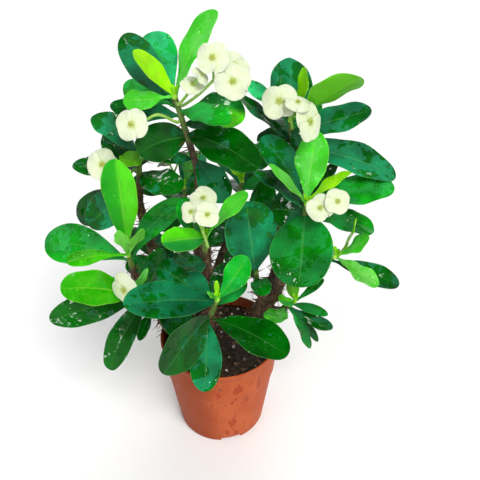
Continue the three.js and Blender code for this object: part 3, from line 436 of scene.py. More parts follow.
# a shoot: the foot and tip of its stem, then its young and its grown leaves. A leaf: its outline, look,
# drop below the tip, azimuth, rise, length and width, then its arch and its roll where they differ
# from the 20 and 0 degrees of a plain leaf
shoots = {
    "crown_left": {"foot": (-16, 1, 318), "tip": (-31, 0, 382), "young": [
        ("egg", "bright", 1, 30, 57, 72, 30, 24, -20), ("oval", "lime", 0, -160, 53, 47, 15, 20, -35),
        ("spoon", "bright", 1, -165, -1, 40, 22, -4)], "grown": [
        ("spoon", "jade", 8, 122, 49, 62, 30, 27), ("egg", "teal", 11, 153, 48, 69, 30, 0, -45),
        ("spoon", "fresh", 11, 150, 4, 55, 24, 18, -55), ("oval", "fresh", 14, -38, 3, 52, 23, 33, -3),
        ("oval", "wet", 35, -38, -7, 74, 36, 30), ("round", "wet", 38, -155, -8, 43, 32, 40, -45),
        ("oval", "dark", 58, -155, 10, 28, 12, 10), ("oval", "teal", 60, -35, -45, 44, 28),
        ("round", "dark", 26, 9, -6, 41, 20, 8, -14), ("oval", "teal", 18, 163, 2, 62, 22, -12),
        ("egg", "split", 18, 17, -4, 54, 37, 22, 2)]},
    "upper_left": {"foot": (-69, 4, 285), "tip": (-66, 10, 329), "young": [
        ("oval", "olive", 1, -108, -8, 24, 20), ("lance", "bright", 0, -60, 60, 18, 8, 10)], "grown": [
        ("egg", "teal", 7, 148, 32, 55, 30, 45, 20), ("egg", "dark", 9, 165, 22, 36, 21, 36, -35),
        ("egg", "teal", 9, 130, 10, 54, 24), ("round", "dark", 8, 171, -10, 63, 27, -30, 12),
        ("round", "wet", 24, -38, 2, 49, 29, 25, -5), ("egg", "dark", 37, 162, -34, 84, 31, 18, -45),
        ("oval", "teal", 36, -179, -38, 64, 33, 15, -32), ("egg", "dark", 16, 74, 8, 54, 27),
        ("egg", "dark", 24, 112, -5, 55, 28)]},
    "side_left": {"foot": (-78, -18, 215), "tip": (-81, -20, 240), "young": [
        ("egg", "splitLime", 1, 98, 84, 92, 34, -20, -17), ("lance", "sage", 0, -95, 68, 38, 14, -10),
        ("lance", "sage", 0, -35, 58, 42, 14, -10, -40),
        ("spoon", "apple", 2, -165, 2, 54, 15, 25, -12)], "grown": [
        ("egg", "mid", 10, -3, 51, 88, 22, 45, 43), ("egg", "fresh", 10, 165, 2, 88, 39, 40, -15),
        ("egg", "dark", 14, 95, 5, 54, 26)]},
    "low_left": {"foot": (-58, -22, 168), "tip": (-81, -42, 211), "young": [
        ("round", "apple", 2, -165, 18, 60, 34, 28),
        ("oval", "bright", 0, -20, 55, 42, 10, -20, 15)], "grown": [
        ("oval", "wet", 15, -174, -13, 84, 30, 18, -35), ("round", "wet", 25, -139, -53, 73, 26, 25, -5),
        ("oval", "dark", 42, -130, -50, 32, 12, 15, 10), ("oval", "dark", 48, -35, -8, 50, 27),
        ("oval", "dark", 30, 25, 70, 62, 25)]},
    "low_front": {"foot": (-10, -33, 165), "tip": (1, -45, 207), "young": [
        ("egg", "emerald", 1, 0, 61, 55, 24, -5, 24), ("lance", "bright", 0, -120, 60, 15, 5, 0),
        ("lance", "lime", 0, 100, 70, 17, 5, 0), ("lance", "bright", 0, -160, 50, 14, 5, -20)], "grown": [
        ("oval", "teal", 4, -152, 20, 89, 39, 18, 5), ("egg", "wet", 34, -32, -3, 84, 41, 30, -20),
        ("oval", "wet", 30, -130, -24, 69, 46, 32, -55), ("oval", "teal", 41, -93, -42, 65, 31, 18),
        ("oval", "teal", 12, 178, 42, 66, 38, 15), ("oval", "dark", 17, 60, 60, 44, 20, 10),
        ("oval", "mid", 12, 30, 24, 36, 18)]},
    "mid_front": {"foot": (-9, -36, 243), "tip": (-8, -50, 279), "young": [
        ("spoon", "bright", 1, 0, 50, 55, 18, 20, -5),
        ("round", "split", 1, -147, 14, 39, 23, 8, -5)], "grown": [
        ("round", "dark", 37, -153, 12, 27, 38, 0, 32), ("oval", "mid", 10, 132, 45, 42, 22),
        ("egg", "dark", 20, 60, 0, 52, 26)]},
    "mid_right": {"foot": (38, -22, 200), "tip": (36, -35, 230), "young": [], "grown": [
        ("oval", "teal", 1, 112, 69, 65, 54, -10, 18), ("spoon", "mid", 9, 82, 44, 92, 26, 10, -10),
        ("egg", "dark", 18, 118, 0, 54, 26), ("round", "mid", 12, -79, 12, 32, 18, 33, 5)]},
    "side_right": {"foot": (78, -12, 262), "tip": (79, -20, 294), "young": [
        ("lance", "bright", 0, 76, 62, 62, 30, 35, -20), ("lance", "sage", 0, -162, 50, 55, 14, 5),
        ("lance", "lime", 0, -12, 44, 47, 14, 34, -12)], "grown": [
        ("round", "teal", 8, 162, 32, 55, 23, 43, 25), ("spoon", "teal", 9, 152, 53, 74, 28, 42),
        ("spoon", "dark", 6, 42, 42, 47, 15, 15, -35), ("egg", "fresh", 9, 0, 17, 77, 36, 41, -14),
        ("spoon", "mid", 21, 0, -10, 63, 32, 24, -20), ("round", "mid", 15, -98, -35, 66, 55, 25, 15),
        ("lance", "dark", 17, 160, 0, 29, 37, 39, -33)]},
    "crown_right": {"foot": (68, 15, 325), "tip": (64, 15, 356), "young": [
        ("egg", "lime", 1, -15, 79, 46, 17, -26, 8),
        ("spoon", "olive", 1, -26, 39, 70, 46, 4, -60)], "grown": [
        ("lance", "teal", 11, 93, 58, 61, 40, 31, 16), ("oval", "teal", 13, 2, 16, 68, 27, 0, 5),
        ("egg", "dark", 22, -176, 43, 64, 17, 6, 10), ("spoon", "jade", 7, 170, 41, 55, 16, 38, 5),
        ("round", "dark", 21, 166, -2, 30, 25, 24, 12), ("oval", "dark", 9, -60, -50, 23, 12, 10),
        ("oval", "teal", 27, -14, -12, 92, 37, 28, -10), ("egg", "dark", 22, 97, 0, 55, 28),
        ("egg", "mid", 17, 64, 16, 54, 26)]},
    "far_right": {"foot": (95, -29, 234), "tip": (107.5, -30, 245), "young": [
        ("egg", "lime", 0, -36, 73, 47, 12, -28), ("spoon", "bright", 1, -20, 46, 38, 18, -8, -5),
        ("egg", "sage", 1, -33, -20, 45, 22, 14, -25)], "grown": [
        ("egg", "dark", 7, -10, -17, 66, 23, 4, -5)]},
    "low_right": {"foot": (70, 20, 138), "tip": (80, 15, 152), "young": [
        ("egg", "mid", 1, -2, 48, 41, 9, 0, 5), ("lance", "split", 1, -134, 33, 31, 17, 2),
        ("oval", "olive", 0, 125, 66, 24, 14, 10)], "grown": [
        ("oval", "mid", 7, -18, -7, 39, 11, 20, 20), ("egg", "dark", 14, -22, -15, 52, 17, -15, -15),
        ("egg", "mid", 13, -41, -52, 52, 15, 20, -27), ("egg", "dark", 15, -18, -48, 54, 11, 18, -8),
        ("egg", "bright", 16, -121, 14, 37, 26, 2, 18)]},
    "back_upper_left": {"foot": (-33, 61, 228), "tip": (-37, 76, 256), "young": [
        ("egg", "bright", 0, 20, 68, 40, 16, 15)], "grown": [
        ("egg", "teal", 12, 82, 20, 66, 30, 25), ("egg", "dark", 8, 175, 12, 55, 28),
        ("oval", "mid", 10, 36, 8, 46, 24, 25), ("oval", "dark", 16, 115, -15, 66, 30, 15),
        ("oval", "dark", 13, -110, -8, 54, 28, 10)]},
    "back_upper_mid": {"foot": (18, 71, 229), "tip": (24, 86, 258), "young": [
        ("egg", "bright", 0, 90, 66, 44, 17, 15), ("lance", "lime", 1, -160, 55, 34, 12, 10)], "grown": [
        ("egg", "dark", 8, 60, 22, 66, 30, 25), ("egg", "teal", 8, 112, 20, 66, 30, 25),
        ("oval", "mid", 10, 0, 22, 44, 22), ("oval", "dark", 16, 90, -15, 68, 32, 15)]},
    "back_right": {"foot": (77, 62, 222), "tip": (82, 72, 248), "young": [
        ("egg", "bright", 0, 120, 60, 38, 15, 15), ("lance", "lime", 1, -20, 55, 40, 14, 10)], "grown": [
        ("egg", "teal", 6, 105, 20, 64, 29, 25), ("egg", "dark", 12, 22, 6, 55, 26),
        ("oval", "dark", 14, 75, -15, 66, 30, 15), ("oval", "mid", 16, -15, 0, 54, 25, 15)]},
    "back_low_left": {"foot": (-48, 48, 153), "tip": (-46, 57, 176), "young": [
        ("egg", "bright", 0, 100, 62, 34, 13, 10)], "grown": [
        ("egg", "teal", 7, 80, 5, 62, 29, 25), ("oval", "dark", 7, 140, 10, 66, 29, 25),
        ("egg", "mid", 10, -170, 8, 55, 26), ("oval", "dark", 12, 110, -30, 54, 26, 10)]},
    "back_low_mid": {"foot": (11, 77, 156), "tip": (15, 88, 178), "young": [
        ("egg", "lime", 0, 60, 64, 36, 14, 10)], "grown": [
        ("egg", "dark", 7, 95, 10, 66, 30, 25), ("oval", "teal", 7, 45, 8, 55, 27),
        ("egg", "dark", 10, 145, 5, 50, 25), ("oval", "mid", 12, 75, -35, 52, 25, 10)]},
    "back_low_right": {"foot": (58, 66, 147), "tip": (64, 76, 168), "young": [
        ("egg", "bright", 0, 20, 60, 36, 14, 10)], "grown": [
        ("egg", "teal", 7, 75, 12, 64, 29, 25), ("egg", "dark", 7, 15, 8, 55, 27),
        ("oval", "mid", 10, -25, 0, 50, 24), ("oval", "dark", 12, 45, -30, 54, 26, 10)]},
}

# a bloom: the shoot that it grows on, drop below the tip, azimuth, the points of its stalk, and its
# flowers. A flower: its centre, the azimuth and rise of its face, its spin and its width
blooms = {
    "crown_far_left": ("crown_left", 22, -160, [(-43, -12, 370), (-54, -18, 367)], [
        ((-63, -24, 367), -100, 35, 20, 27)]),
    "crown_bud": ("crown_left", 7, -60, [(-19, -9, 386)], [
        ((-15, -11, 394), -60, 60, 30, 20), ((-8, -13, 402), -20, 40, 80, 16)]),
    "crown_cluster": ("crown_left", 10, -5, [(-11, -5, 384), (1, -7, 396)], [
        ((1, -12, 415), -100, 30, 10, 26), ((16, -18, 399), -85, 25, 60, 29),
        ((17, 2, 405), -60, 45, 100, 27)]),
    "upper_left": ("upper_left", 18, -150, [(-76, 1, 309), (-88, -1, 308)], [
        ((-97, 0, 320), -98, 36, 40, 29)]),
    "low_left": ("low_left", 8, -120, [(-79, -51, 213)], [
        ((-80, -56, 226), -125, 10, 70, 33)]),
    "mid_front": ("mid_front", 8, -60, [(-9, -56, 290)], [
        ((-17, -56, 307), -115, 35, 20, 20), ((-4, -63, 309), -85, 30, 80, 21),
        ((-8, -45, 313), -95, 50, 50, 22)]),
    "side_right": ("side_right", 16, -20, [(90, -19, 280), (95, -25, 286)], [
        ((88, -37, 299), -95, 30, 40, 24), ((102, -35, 304), -80, 35, 70, 23)]),
    "crown_right": ("crown_right", 7, -80, [(63, 5, 363)], [
        ((53, -4, 378), -105, 40, 20, 31), ((67, -9, 379), -60, 75, 60, 24),
        ((77, -14, 365), -40, 20, 90, 33)]),
    "back_left": ("back_upper_left", 6, 128, [(-47, 84, 267)], [
        ((-54, 90, 279), 130, 35, 30, 26), ((-40, 98, 280), 75, 35, 80, 26)]),
    "back_right": ("back_right", 6, 50, [(93, 80, 260)], [
        ((101, 80, 273), 25, 40, 30, 26), ((90, 94, 272), 95, 30, 80, 25)]),
}

pot = {  # outside radii and heights of one thin moulded shell, with a band that steps out above
    "rim": 63, "band": 59.2, "step": 1.4, "foot": 48, "height": 120, "bandHeight": 80, "wall": 2,
    "footRing": 5, "footHeight": 6, "footChamfer": 2.5, "disc": 18, "notches": 4, "notchWidth": 21,
    "notchAngle": 14, "turns": 192,
}


def potProfile():  # radius and height round the shell's wall; the small offsets round the mould's corners
    rim, band, foot, top, wall = [pot[key] for key in ("rim", "band", "foot", "height", "wall")]
    body, ring, lift = band - pot["step"], foot - pot["footRing"], pot["footHeight"]
    low, ledge, disc = pot["footChamfer"], pot["bandHeight"], pot["disc"]
    lower = [(foot + (body - foot) * k / 20, low + (ledge - 2.5 - low) * k / 20) for k in range(21)]
    upper = [(band + (rim - 0.8 - band) * k / 6, ledge + (top - 4 - ledge) * k / 6) for k in range(1, 7)]
    return [
        (0.01, 0), (disc, 0), (disc + 0.8, lift), (ring - 0.8, lift), (ring, 0.3), (ring + 0.4, 0),
        (foot - 1.6, 0), (foot - 1.1, 0.3), (foot - 0.2, low - 0.4), *lower, (body + 0.2, ledge - 1.6),
        (band - 0.25, ledge - 0.8), (band, ledge + 0.2), *upper, (rim - 0.3, top - 3.6), (rim, top - 3),
        (rim, top - 1), (rim - 0.25, top - 0.3), (rim - 0.8, top), (rim - wall + 0.5, top),
        (rim - wall, top - 0.5), (rim - wall - 0.6, top - 6), (band - wall, ledge),
        (body - wall, ledge - 1.5), (foot - wall + 1, lift + wall + 6), (foot - wall - 1, lift + wall + 1),
        (foot - wall - 3, lift + wall), (0.01, lift + wall)]


def potWall():  # the profile turned, with drain gaps through the foot ring, so water can run out
    rings = np.array([levelRing(height, radius, pot["turns"]) for radius, height in potProfile()])
    outer = np.hypot(rings[..., 0], rings[..., 1]) > pot["foot"] - pot["footRing"] - 1
    for k in range(pot["notches"]):
        middle = math.radians(pot["notchAngle"] + 360 / pot["notches"] * k)
        off = np.abs((fullTurn(pot["turns"]) - middle + math.pi) % (2 * math.pi) - math.pi) * pot["foot"]
        gap = outer & (off < pot["notchWidth"] / 2) & (rings[..., 2] < pot["footHeight"])
        rings[gap, 2] = pot["footHeight"] - 0.05
    return skinOf(rings)


potShell = finish(objectFrom("potShell", [potWall()], "pot"), "pot_plastic", "pot")
print("pot:", len(potShell.data.polygons), "faces")

mix = {  # the mound of potting mix, then the loose grains that lie on it
    "top": 108, "floor": 8.6, "edge": 59.4, "rings": 46, "turns": 160, "swell": 0.9, "relief": 1.32,
    "crumb": 1.1, "scatterBelow": 6, "perlite": 2.0, "perliteSpacing": 9, "chip": 4.5, "chipSpacing": 6.5,
}


def mixHeight(x, y):
    broad = math.sin(0.11 * x + 1) * math.cos(0.13 * y) + 0.6 * math.sin(0.21 * x - 0.17 * y)
    rough = noise.fractal(Vector((x, y, 0)) / 9, 0.9, 2.1, 3)
    fine = noise.noise(Vector((x, y, 7)) / 2.6)
    return mix["top"] + mix["swell"] * broad + mix["relief"] * rough + mix["crumb"] * fine


def mixBed():
    base = pot["foot"] - pot["wall"] - 1.2
    rings = [levelRing(mix["floor"], base * share, mix["turns"]) for share in (0.02, 1)]
    for radius in np.linspace(1, 0.01, mix["rings"]) * mix["edge"]:
        ring = levelRing(0, radius, mix["turns"])
        ring[:, 2] = [mixHeight(x, y) for x, y, _ in ring]
        rings.append(ring)
    return skinOf(rings)


pottingMix = finish(objectFrom("pottingMix", [mixBed()], "mix"), "potting_mix", "soil")


def scatterTree(label, makeShape):  # stands a small shape on points spread over the chosen faces
    group = bpy.data.node_groups.new(label, "GeometryNodeTree")
    group.is_modifier = True
    floats = ("Spacing", "Length", "Width", "Smallest", "Largest", "Tilt", "Sink", "Lowest")
    kinds = {"Geometry": "Geometry", "Seed": "Int", "Material": "Material", **dict.fromkeys(floats, "Float")}
    for name, kind in kinds.items():
        group.interface.new_socket(name, in_out="INPUT", socket_type="NodeSocket" + kind)
    group.interface.new_socket("Geometry", in_out="OUTPUT", socket_type="NodeSocketGeometry")
    tree = TreeMaker(group)
    given = tree.add("NodeGroupInput").outputs

    # only upper sides above the lowest level carry the shape
    spot = tree.out("GeometryNodeInputPosition")
    height = tree.out("ShaderNodeSeparateXYZ", {0: spot}, "Z")
    high = tree.out("FunctionNodeCompare", {0: height, 1: given["Lowest"]}, operation="GREATER_THAN")
    under = tree.out("GeometryNodeInputNamedAttribute", {"Name": "underside"}, "Attribute", data_type="FLOAT")
    topSide = tree.out("FunctionNodeCompare", {0: under, 1: 0.5}, operation="LESS_THAN")
    chosen = tree.out("FunctionNodeBooleanMath", {0: high, 1: topSide}, operation="AND")
    crowd = tree.math("DIVIDE", 2.0, tree.times(given["Spacing"], given["Spacing"]))
    spread = tree.add("GeometryNodeDistributePointsOnFaces", {
        "Mesh": given["Geometry"], "Selection": chosen, "Distance Min": given["Spacing"],
        "Density Max": crowd, "Seed": given["Seed"]}, distribute_method="POISSON").outputs

    # each one is turned, leant and sized by chance, then sunk a little
    lean = tree.out("ShaderNodeCombineXYZ", {0: given["Tilt"], 1: given["Tilt"], 2: math.pi})
    back = tree.out("ShaderNodeVectorMath", {0: lean, 1: (-1, -1, -1)}, operation="MULTIPLY")
    tilt = tree.out("FunctionNodeRandomValue", {0: back, 1: lean, "Seed": 3}, data_type="FLOAT_VECTOR")
    turnBy = tree.out("FunctionNodeRotateRotation", {"Rotation": spread["Rotation"], "Rotate By": tilt},
                      rotation_space="LOCAL")
    size = tree.out("FunctionNodeRandomValue", {2: 0.0, 3: 1.0, "Seed": 5}, 1, data_type="FLOAT")
    size = tree.math("POWER", size, 1.6)
    size = tree.out("ShaderNodeMapRange", {0: size, 3: given["Smallest"], 4: given["Largest"]})
    shapes = tree.out("GeometryNodeInstanceOnPoints", {
        "Points": spread["Points"], "Instance": makeShape(tree, given), "Rotation": turnBy, "Scale": size})
    depth = tree.out("ShaderNodeCombineXYZ", {2: tree.times(given["Sink"], -1.0)})
    sunk = tree.out("GeometryNodeTranslateInstances", {
        "Instances": shapes, "Translation": depth, "Local Space": True})
    real = tree.out("GeometryNodeRealizeInstances", {"Geometry": sunk})
    done = tree.out("GeometryNodeSetMaterial", {"Geometry": real, "Material": given["Material"]})
    tree.add("NodeGroupOutput", {"Geometry": done})
    return group


def thornShape(tree, given):
    cone = tree.out("GeometryNodeMeshCone", {
        "Vertices": 5, "Side Segments": 2, "Radius Bottom": given["Width"], "Depth": given["Length"],
        "Radius Top": tree.times(given["Width"], 0.12)}, "Mesh", fill_type="NGON")
    return tree.out("GeometryNodeSetShadeSmooth", {"Geometry": cone})


def crumbShape(tree, given):  # an angular grain, longer than it is wide
    ball = tree.out("GeometryNodeMeshIcoSphere", {"Radius": given["Width"], "Subdivisions": 2}, "Mesh")
    spot = tree.out("GeometryNodeInputPosition")
    jitter = tree.out("ShaderNodeTexNoise", {"Vector": spot, "Scale": 500.0, "Detail": 1.0}, "Color")
    centred = tree.out("ShaderNodeVectorMath", {0: jitter, 1: (-0.5, -0.5, -0.5)})
    shift = tree.out("ShaderNodeVectorMath", {0: centred, "Scale": 2.6 * mm}, operation="SCALE")
    rough = tree.out("GeometryNodeSetPosition", {"Geometry": ball, "Offset": shift})
    share = tree.math("DIVIDE", given["Length"], given["Width"])
    stretch = tree.out("ShaderNodeCombineXYZ", {0: share, 1: 1.0, 2: 0.7})
    return tree.out("GeometryNodeTransform", {"Geometry": rough, "Scale": stretch})


def dropShape(tree, given):
    ball = tree.out("GeometryNodeMeshUVSphere", {"Segments": 8, "Rings": 5, "Radius": given["Width"]}, "Mesh")
    share = tree.math("DIVIDE", given["Length"], given["Width"])
    flat = tree.out("ShaderNodeCombineXYZ", {0: 1.0, 1: 1.0, 2: share})
    shaped = tree.out("GeometryNodeTransform", {"Geometry": ball, "Scale": flat})
    return tree.out("GeometryNodeSetShadeSmooth", {"Geometry": shaped})


scatterTrees = {
    "thorn": scatterTree("thornScatter", thornShape),
    "crumb": scatterTree("crumbScatter", crumbShape),
    "drop": scatterTree("dropScatter", dropShape),
}


def scatterOn(name, carriers, kind, material, **sizes):
    points, faces, below = [], [], []
    for carrier in carriers:
        data = carrier.data
        start = len(points)
        points += [tuple(v.co) for v in data.vertices]
        faces += [tuple(start + i for i in p.vertices) for p in data.polygons]
        sides = data.attributes.get("underside")
        below += [v.value for v in sides.data] if sides else [0.0] * len(data.vertices)
    mesh = bpy.data.meshes.new(name)
    mesh.from_pydata(points, [], faces)
    mesh.attributes.new("underside", "FLOAT", "POINT").data.foreach_set("value", below)
    made = placed(name, mesh)
    modifier = made.modifiers.new("scatter", "NODES")
    modifier.node_group = scatterTrees[kind]
    values = {"Tilt": 0.0, "Sink": 0.0, "Lowest": -1000.0, **sizes}
    for key in ("Spacing", "Length", "Width", "Sink", "Lowest"):
        values[key] *= mm
    values["Material"] = finishes[material]
    for item in scatterTrees[kind].interface.items_tree:
        if item.in_out == "INPUT" and item.name in values:
            modifier[item.identifier] = values[item.name]
    return bakeModifiers(made)


perlite = scatterOn("perliteGrains", [pottingMix], "crumb", "perlite", Spacing=mix["perliteSpacing"],
                    Length=mix["perlite"] * 1.15, Width=mix["perlite"], Smallest=0.45, Largest=1.15,
                    Tilt=3.0, Lowest=mix["top"] - mix["scatterBelow"], Seed=11)
chips = scatterOn("barkChips", [pottingMix], "crumb", "chip", Spacing=mix["chipSpacing"],
                  Length=mix["chip"], Width=mix["chip"] * 0.4, Smallest=0.4, Largest=1.2, Tilt=0.6,
                  Lowest=mix["top"] - mix["scatterBelow"], Seed=12)
for crumbs in (perlite, chips):
    finish(crumbs, "potting_mix", "soil")
print("potting mix:", len(perlite.data.polygons) + len(chips.data.polygons), "crumb faces")

bark = {  # old limbs, then the leafy shoots, then their thorns
    "limbSteps": 9, "sides": 20, "lumps": 0.22, "voxel": 1.1, "knob": 0.45, "knobSize": 5.5,
    "shootFoot": 3.3, "shootTip": 2.2, "shootSides": 14, "shootSteps": 16, "shootLumps": 0.1,
    "underBud": 3.8, "thorn": 12.5, "thornRadius": 0.9, "thornSpacing": 5.6, "thornTilt": 0.55,
    "thornSink": 0.6, "thornsAbove": 5,
    "joint": ((8, 4), (0.3, 3.5)),  # a limb's last points: how far below the shoot's foot, and radius
}

for shoot in shoots.values():
    down = np.subtract(shoot["foot"], shoot["tip"])
    shoot["down"], shoot["length"] = unit(down), np.linalg.norm(down)


def belowTip(shoot, drop):
    return shoot["tip"] + shoot["down"] * drop


def besideStem(shoot, drop, azimuth, outward):
    out = heading(azimuth, 0)
    return belowTip(shoot, drop) + unit(out - shoot["down"] * out.dot(shoot["down"])) * outward


def limbPath(name, points):  # a branch runs on to the foot of the leafy shoot that it carries
    if name == "base":
        return points
    shoot = shoots[name]
    return points + [[*belowTip(shoot, shoot["length"] + past), radius] for past, radius in bark["joint"]]


def fusedTrunk(name, limbs, seed):  # limbs melt into one wood, then swell into knobs
    shells = []
    for k, (limb, points) in enumerate(limbs.items()):
        path = smoothPath(limbPath(limb, points), bark["limbSteps"])
        shells.append(tubeOf(path[:, :3], path[:, 3], bark["sides"], lumps=bark["lumps"], seed=seed + 3 * k))
    made = objectFrom(name, shells, "bark")
    remesh = made.modifiers.new("fuse", "REMESH")
    remesh.mode = "VOXEL"
    remesh.voxel_size = bark["voxel"] * mm
    remesh.use_smooth_shade = True
    mesh = bakeModifiers(made).data
    mesh.materials.clear()
    mesh.materials.append(finishes["bark"])
    normals = [v.normal.copy() for v in mesh.vertices]
    for vertex, normal in zip(mesh.vertices, normals):
        spot = vertex.co / mm / bark["knobSize"] + Vector((seed, 0, 0))
        swell = noise.noise(spot) + 0.4 * noise.noise(spot * 2.7)
        vertex.co += normal * bark["knob"] * mm * swell
    mesh.attributes.new("age", "FLOAT", "POINT").data.foreach_set("value", [1.0] * len(mesh.vertices))
    return made


def thornsOn(name, carrier, seed):
    return scatterOn(name, [carrier], "thorn", "thorn", Spacing=bark["thornSpacing"], Length=bark["thorn"],
                     Width=bark["thornRadius"], Smallest=0.45, Largest=1.15, Tilt=bark["thornTilt"],
                     Sink=bark["thornSink"], Lowest=mix["top"] + bark["thornsAbove"], Seed=seed)


for number, (side, limbs) in enumerate(trunks.items()):
    wood = fusedTrunk("wood_" + side, limbs, 10 * number)
    spines = thornsOn("thorns_" + side, wood, 20 + number)
    for piece in (wood, spines):
        finish(piece, "stem_bark", "trunk_" + side)
    print("trunk", side, len(wood.data.polygons), "bark faces,", len(spines.data.polygons), "thorn faces")

for number, (name, shoot) in enumerate(shoots.items()):
    shares = np.linspace(0, 1, bark["shootSteps"])
    foot = belowTip(shoot, shoot["length"] + 0.5)
    path = foot + (belowTip(shoot, bark["underBud"] if shoot["young"] else 0) - foot) * shares[:, None]
    radii = bark["shootFoot"] + (bark["shootTip"] - bark["shootFoot"]) * shares
    tube = tubeOf(path, radii, bark["shootSides"], 0, 0.95 - 0.85 * shares, bark["shootLumps"], number)
    stem = objectFrom("stem_" + name, [tube], "bark")
    for piece in (stem, thornsOn("prickles_" + name, stem, 40 + number)):
        finish(piece, "stem_bark", "leaves_" + name)
print("shoot stems:", len(shoots))


blade = {  # what all leaves share: how their section is cut, folded, waved, grooved and keeled
    "stations": 27, "columns": [0.08, 0.22, 0.42, 0.65, 0.86, 0.97, 1.0], "lift": 0.4,
    "thickness": 0.62, "edge": 0.34, "petiole": 1.3, "petioleDepth": 1.9, "lightLean": 30,
    "fold": 9, "smallFold": 4, "largeLeaf": 56, "wave": 1.5, "waves": 2.4, "broadLeaf": 26,
    "groove": 0.45, "grooveWidth": 1.1, "keel": 0.9, "keelWidth": 1.0, "stalkShare": 0.16,
}

outlines = {  # power that sets where the blade is broadest, fullness towards its root and its tip
    "spoon": (2, 0.85, 0.52), "egg": (1.6, 0.75, 0.5), "oval": (1.2, 0.7, 0.52),
    "round": (1.1, 0.52, 0.46), "lance": (1.3, 1.05, 0.75),
}


def halfOutline(s, shape):  # half of the blade's width along its midrib, as a share of the broadest
    power, rootEnd, tipEnd = outlines[shape]
    broadest = 0.5 ** (1 / power)
    if s < broadest:
        return math.sin(math.pi * s ** power) ** rootEnd
    return max(0.0, 1 - ((s - broadest) / (1 - broadest)) ** 2.1) ** tipEnd


# painted reflection: the dry colours hold a bluish sky sheen, strongest on teal and jade; on the split looks
# the two colours are the painted lit and shaded halves
looks = {  # dry colour with a painted sky sheen, wet colour and how much of the blade is wet
    "wet": ("#086A3C", "#015204", 0.62), "dark": ("#086238", "#015006", 0.52),
    "teal": ("#087A4A", "#025E10", 0.43), "jade": ("#22B268", "#10A23C", 0.42),
    "mid": ("#06842E", "#03760A", 0.46), "fresh": ("#1EA03C", "#109418", 0.45),
    "bright": ("#56C846", "#46C42C", 0.5), "emerald": ("#12B43C", "#0AAE26", 0.5),
    "apple": ("#3AAC04", "#2CA402", 0.5), "lime": ("#98E010", "#8ADC06", 0.5),
    "olive": ("#54A00E", "#4A9C08", 0.5), "sage": ("#62BE4A", "#52BC36", 0.45),
    "split": ("#52CC12", "#1E9A34", 0.5), "splitLime": ("#4CCC06", "#16A006", 0.5),
}


def tinted(hexText, spread=0.06):
    red, green, blue, _ = colour(hexText)
    shift = 1 + random.uniform(-spread, spread) * 2
    return np.array([red * shift * (1 + random.uniform(-spread, spread)), green * shift, blue * shift, 1.0])


def leafBlade(root, outline, look, _, azimuth, rise, length, width, arch=20, roll=0):
    turn = roll + blade["lightLean"] * math.cos(math.radians(azimuth))
    fold = blade["fold"] if length >= blade["largeLeaf"] else random.uniform(0, blade["smallFold"])
    fold = math.radians(fold)
    stations = 0.5 - 0.5 * np.cos(np.linspace(0, math.pi, blade["stations"]))
    u = np.array([-c for c in reversed(blade["columns"])] + [0] + blade["columns"])
    out = np.abs(u)
    level = heading(azimuth + 90, 0)
    phases = [random.uniform(0, 2 * math.pi) for _ in range(3)]
    wave = blade["wave"] * min(1.0, width / blade["broadLeaf"]) * random.uniform(0.6, 1.2)
    midrib, before, rings = np.array(root, float), 0.0, []
    for s in stations:
        midrib = midrib + heading(azimuth, rise + arch * (0.5 - (s + before) / 2)) * (s - before) * length
        before = s
        along = heading(azimuth, rise + arch * (0.5 - s))
        side = turned(level, along, turn)
        face = np.cross(along, side)
        half = max(width / 2 * halfOutline(s, outline), blade["petiole"] * min(1.0, (1 - s) / 0.1))
        stem = max(0.0, 1 - s / blade["stalkShare"])
        arc = math.sin(math.pi * s)

        # the upper face: folded, waved at its margins, and grooved along its midrib
        lift = half * math.sin(fold) * (np.sqrt(u * u + 0.03) - 0.17) + blade["lift"]
        swing = np.sin(2 * math.pi * blade["waves"] * s + np.where(u < 0, phases[0], phases[1]))
        lift += wave * out ** 2.5 * swing * arc ** 0.6
        lift += 0.5 * wave * math.sin(math.pi * s * 1.5 + phases[2]) * (0.3 - out * out)
        lift -= blade["groove"] * np.exp(-(u * half / blade["grooveWidth"]) ** 2) * (1 - s) * (1 - stem)

        # the lower face: thin at its margins, keeled along its midrib, and round at its stalk
        thick = blade["edge"] + (blade["thickness"] - blade["edge"]) * (1 - out ** 3)
        deep = thick + blade["keel"] * np.exp(-(u * half / blade["keelWidth"]) ** 2) * (1 - s) ** 1.2
        deep += stem * (blade["petioleDepth"] - thick) * (1 - out ** 2)
        spots = midrib + np.outer(half * math.cos(fold) * u, side)
        below = spots + np.outer(lift - deep, face)
        rings.append(np.concatenate([spots + np.outer(lift, face), below[::-1]]))
    around = np.concatenate([u, u[::-1]])
    # the dry colour carries the painted sky sheen
    dryAndSheenHex, wetHex, share = looks[look]
    dry, wet = tinted(dryAndSheenHex), tinted(wetHex)
    # painted light and shade: one half of the blade is lit more than the other, and the blade is mostly
    # darker at its root and lighter towards its tip
    light = 1 + random.uniform(-0.25, 0.25) * around
    light = light + random.uniform(-0.15, 0.5) * (stations[:, None] - 0.6)
    dry, wet = dry * light[..., None], wet * light[..., None]
    if look.startswith("split"):  # one half of the blade is lit through, the other is in shade
        shade = np.clip(around * 2 + 0.5, 0, 1)[:, None]
        dry = wet = dry * (1 - shade) + wet * shade
    uv = np.stack(np.broadcast_arrays(around * 0.5 + 0.5, stations[:, None]), -1)
    under = np.repeat([0.0, 1.0], len(u))[:, None]
    return skinOf(rings, uv=uv, dryColour=dry, wetColour=wet, wetShare=np.array([share]), underside=under)


# the smallest leaves, still closed at the tip
tuft = {"leaves": 3, "length": 9, "width": 4, "rise": 72, "arch": 15}

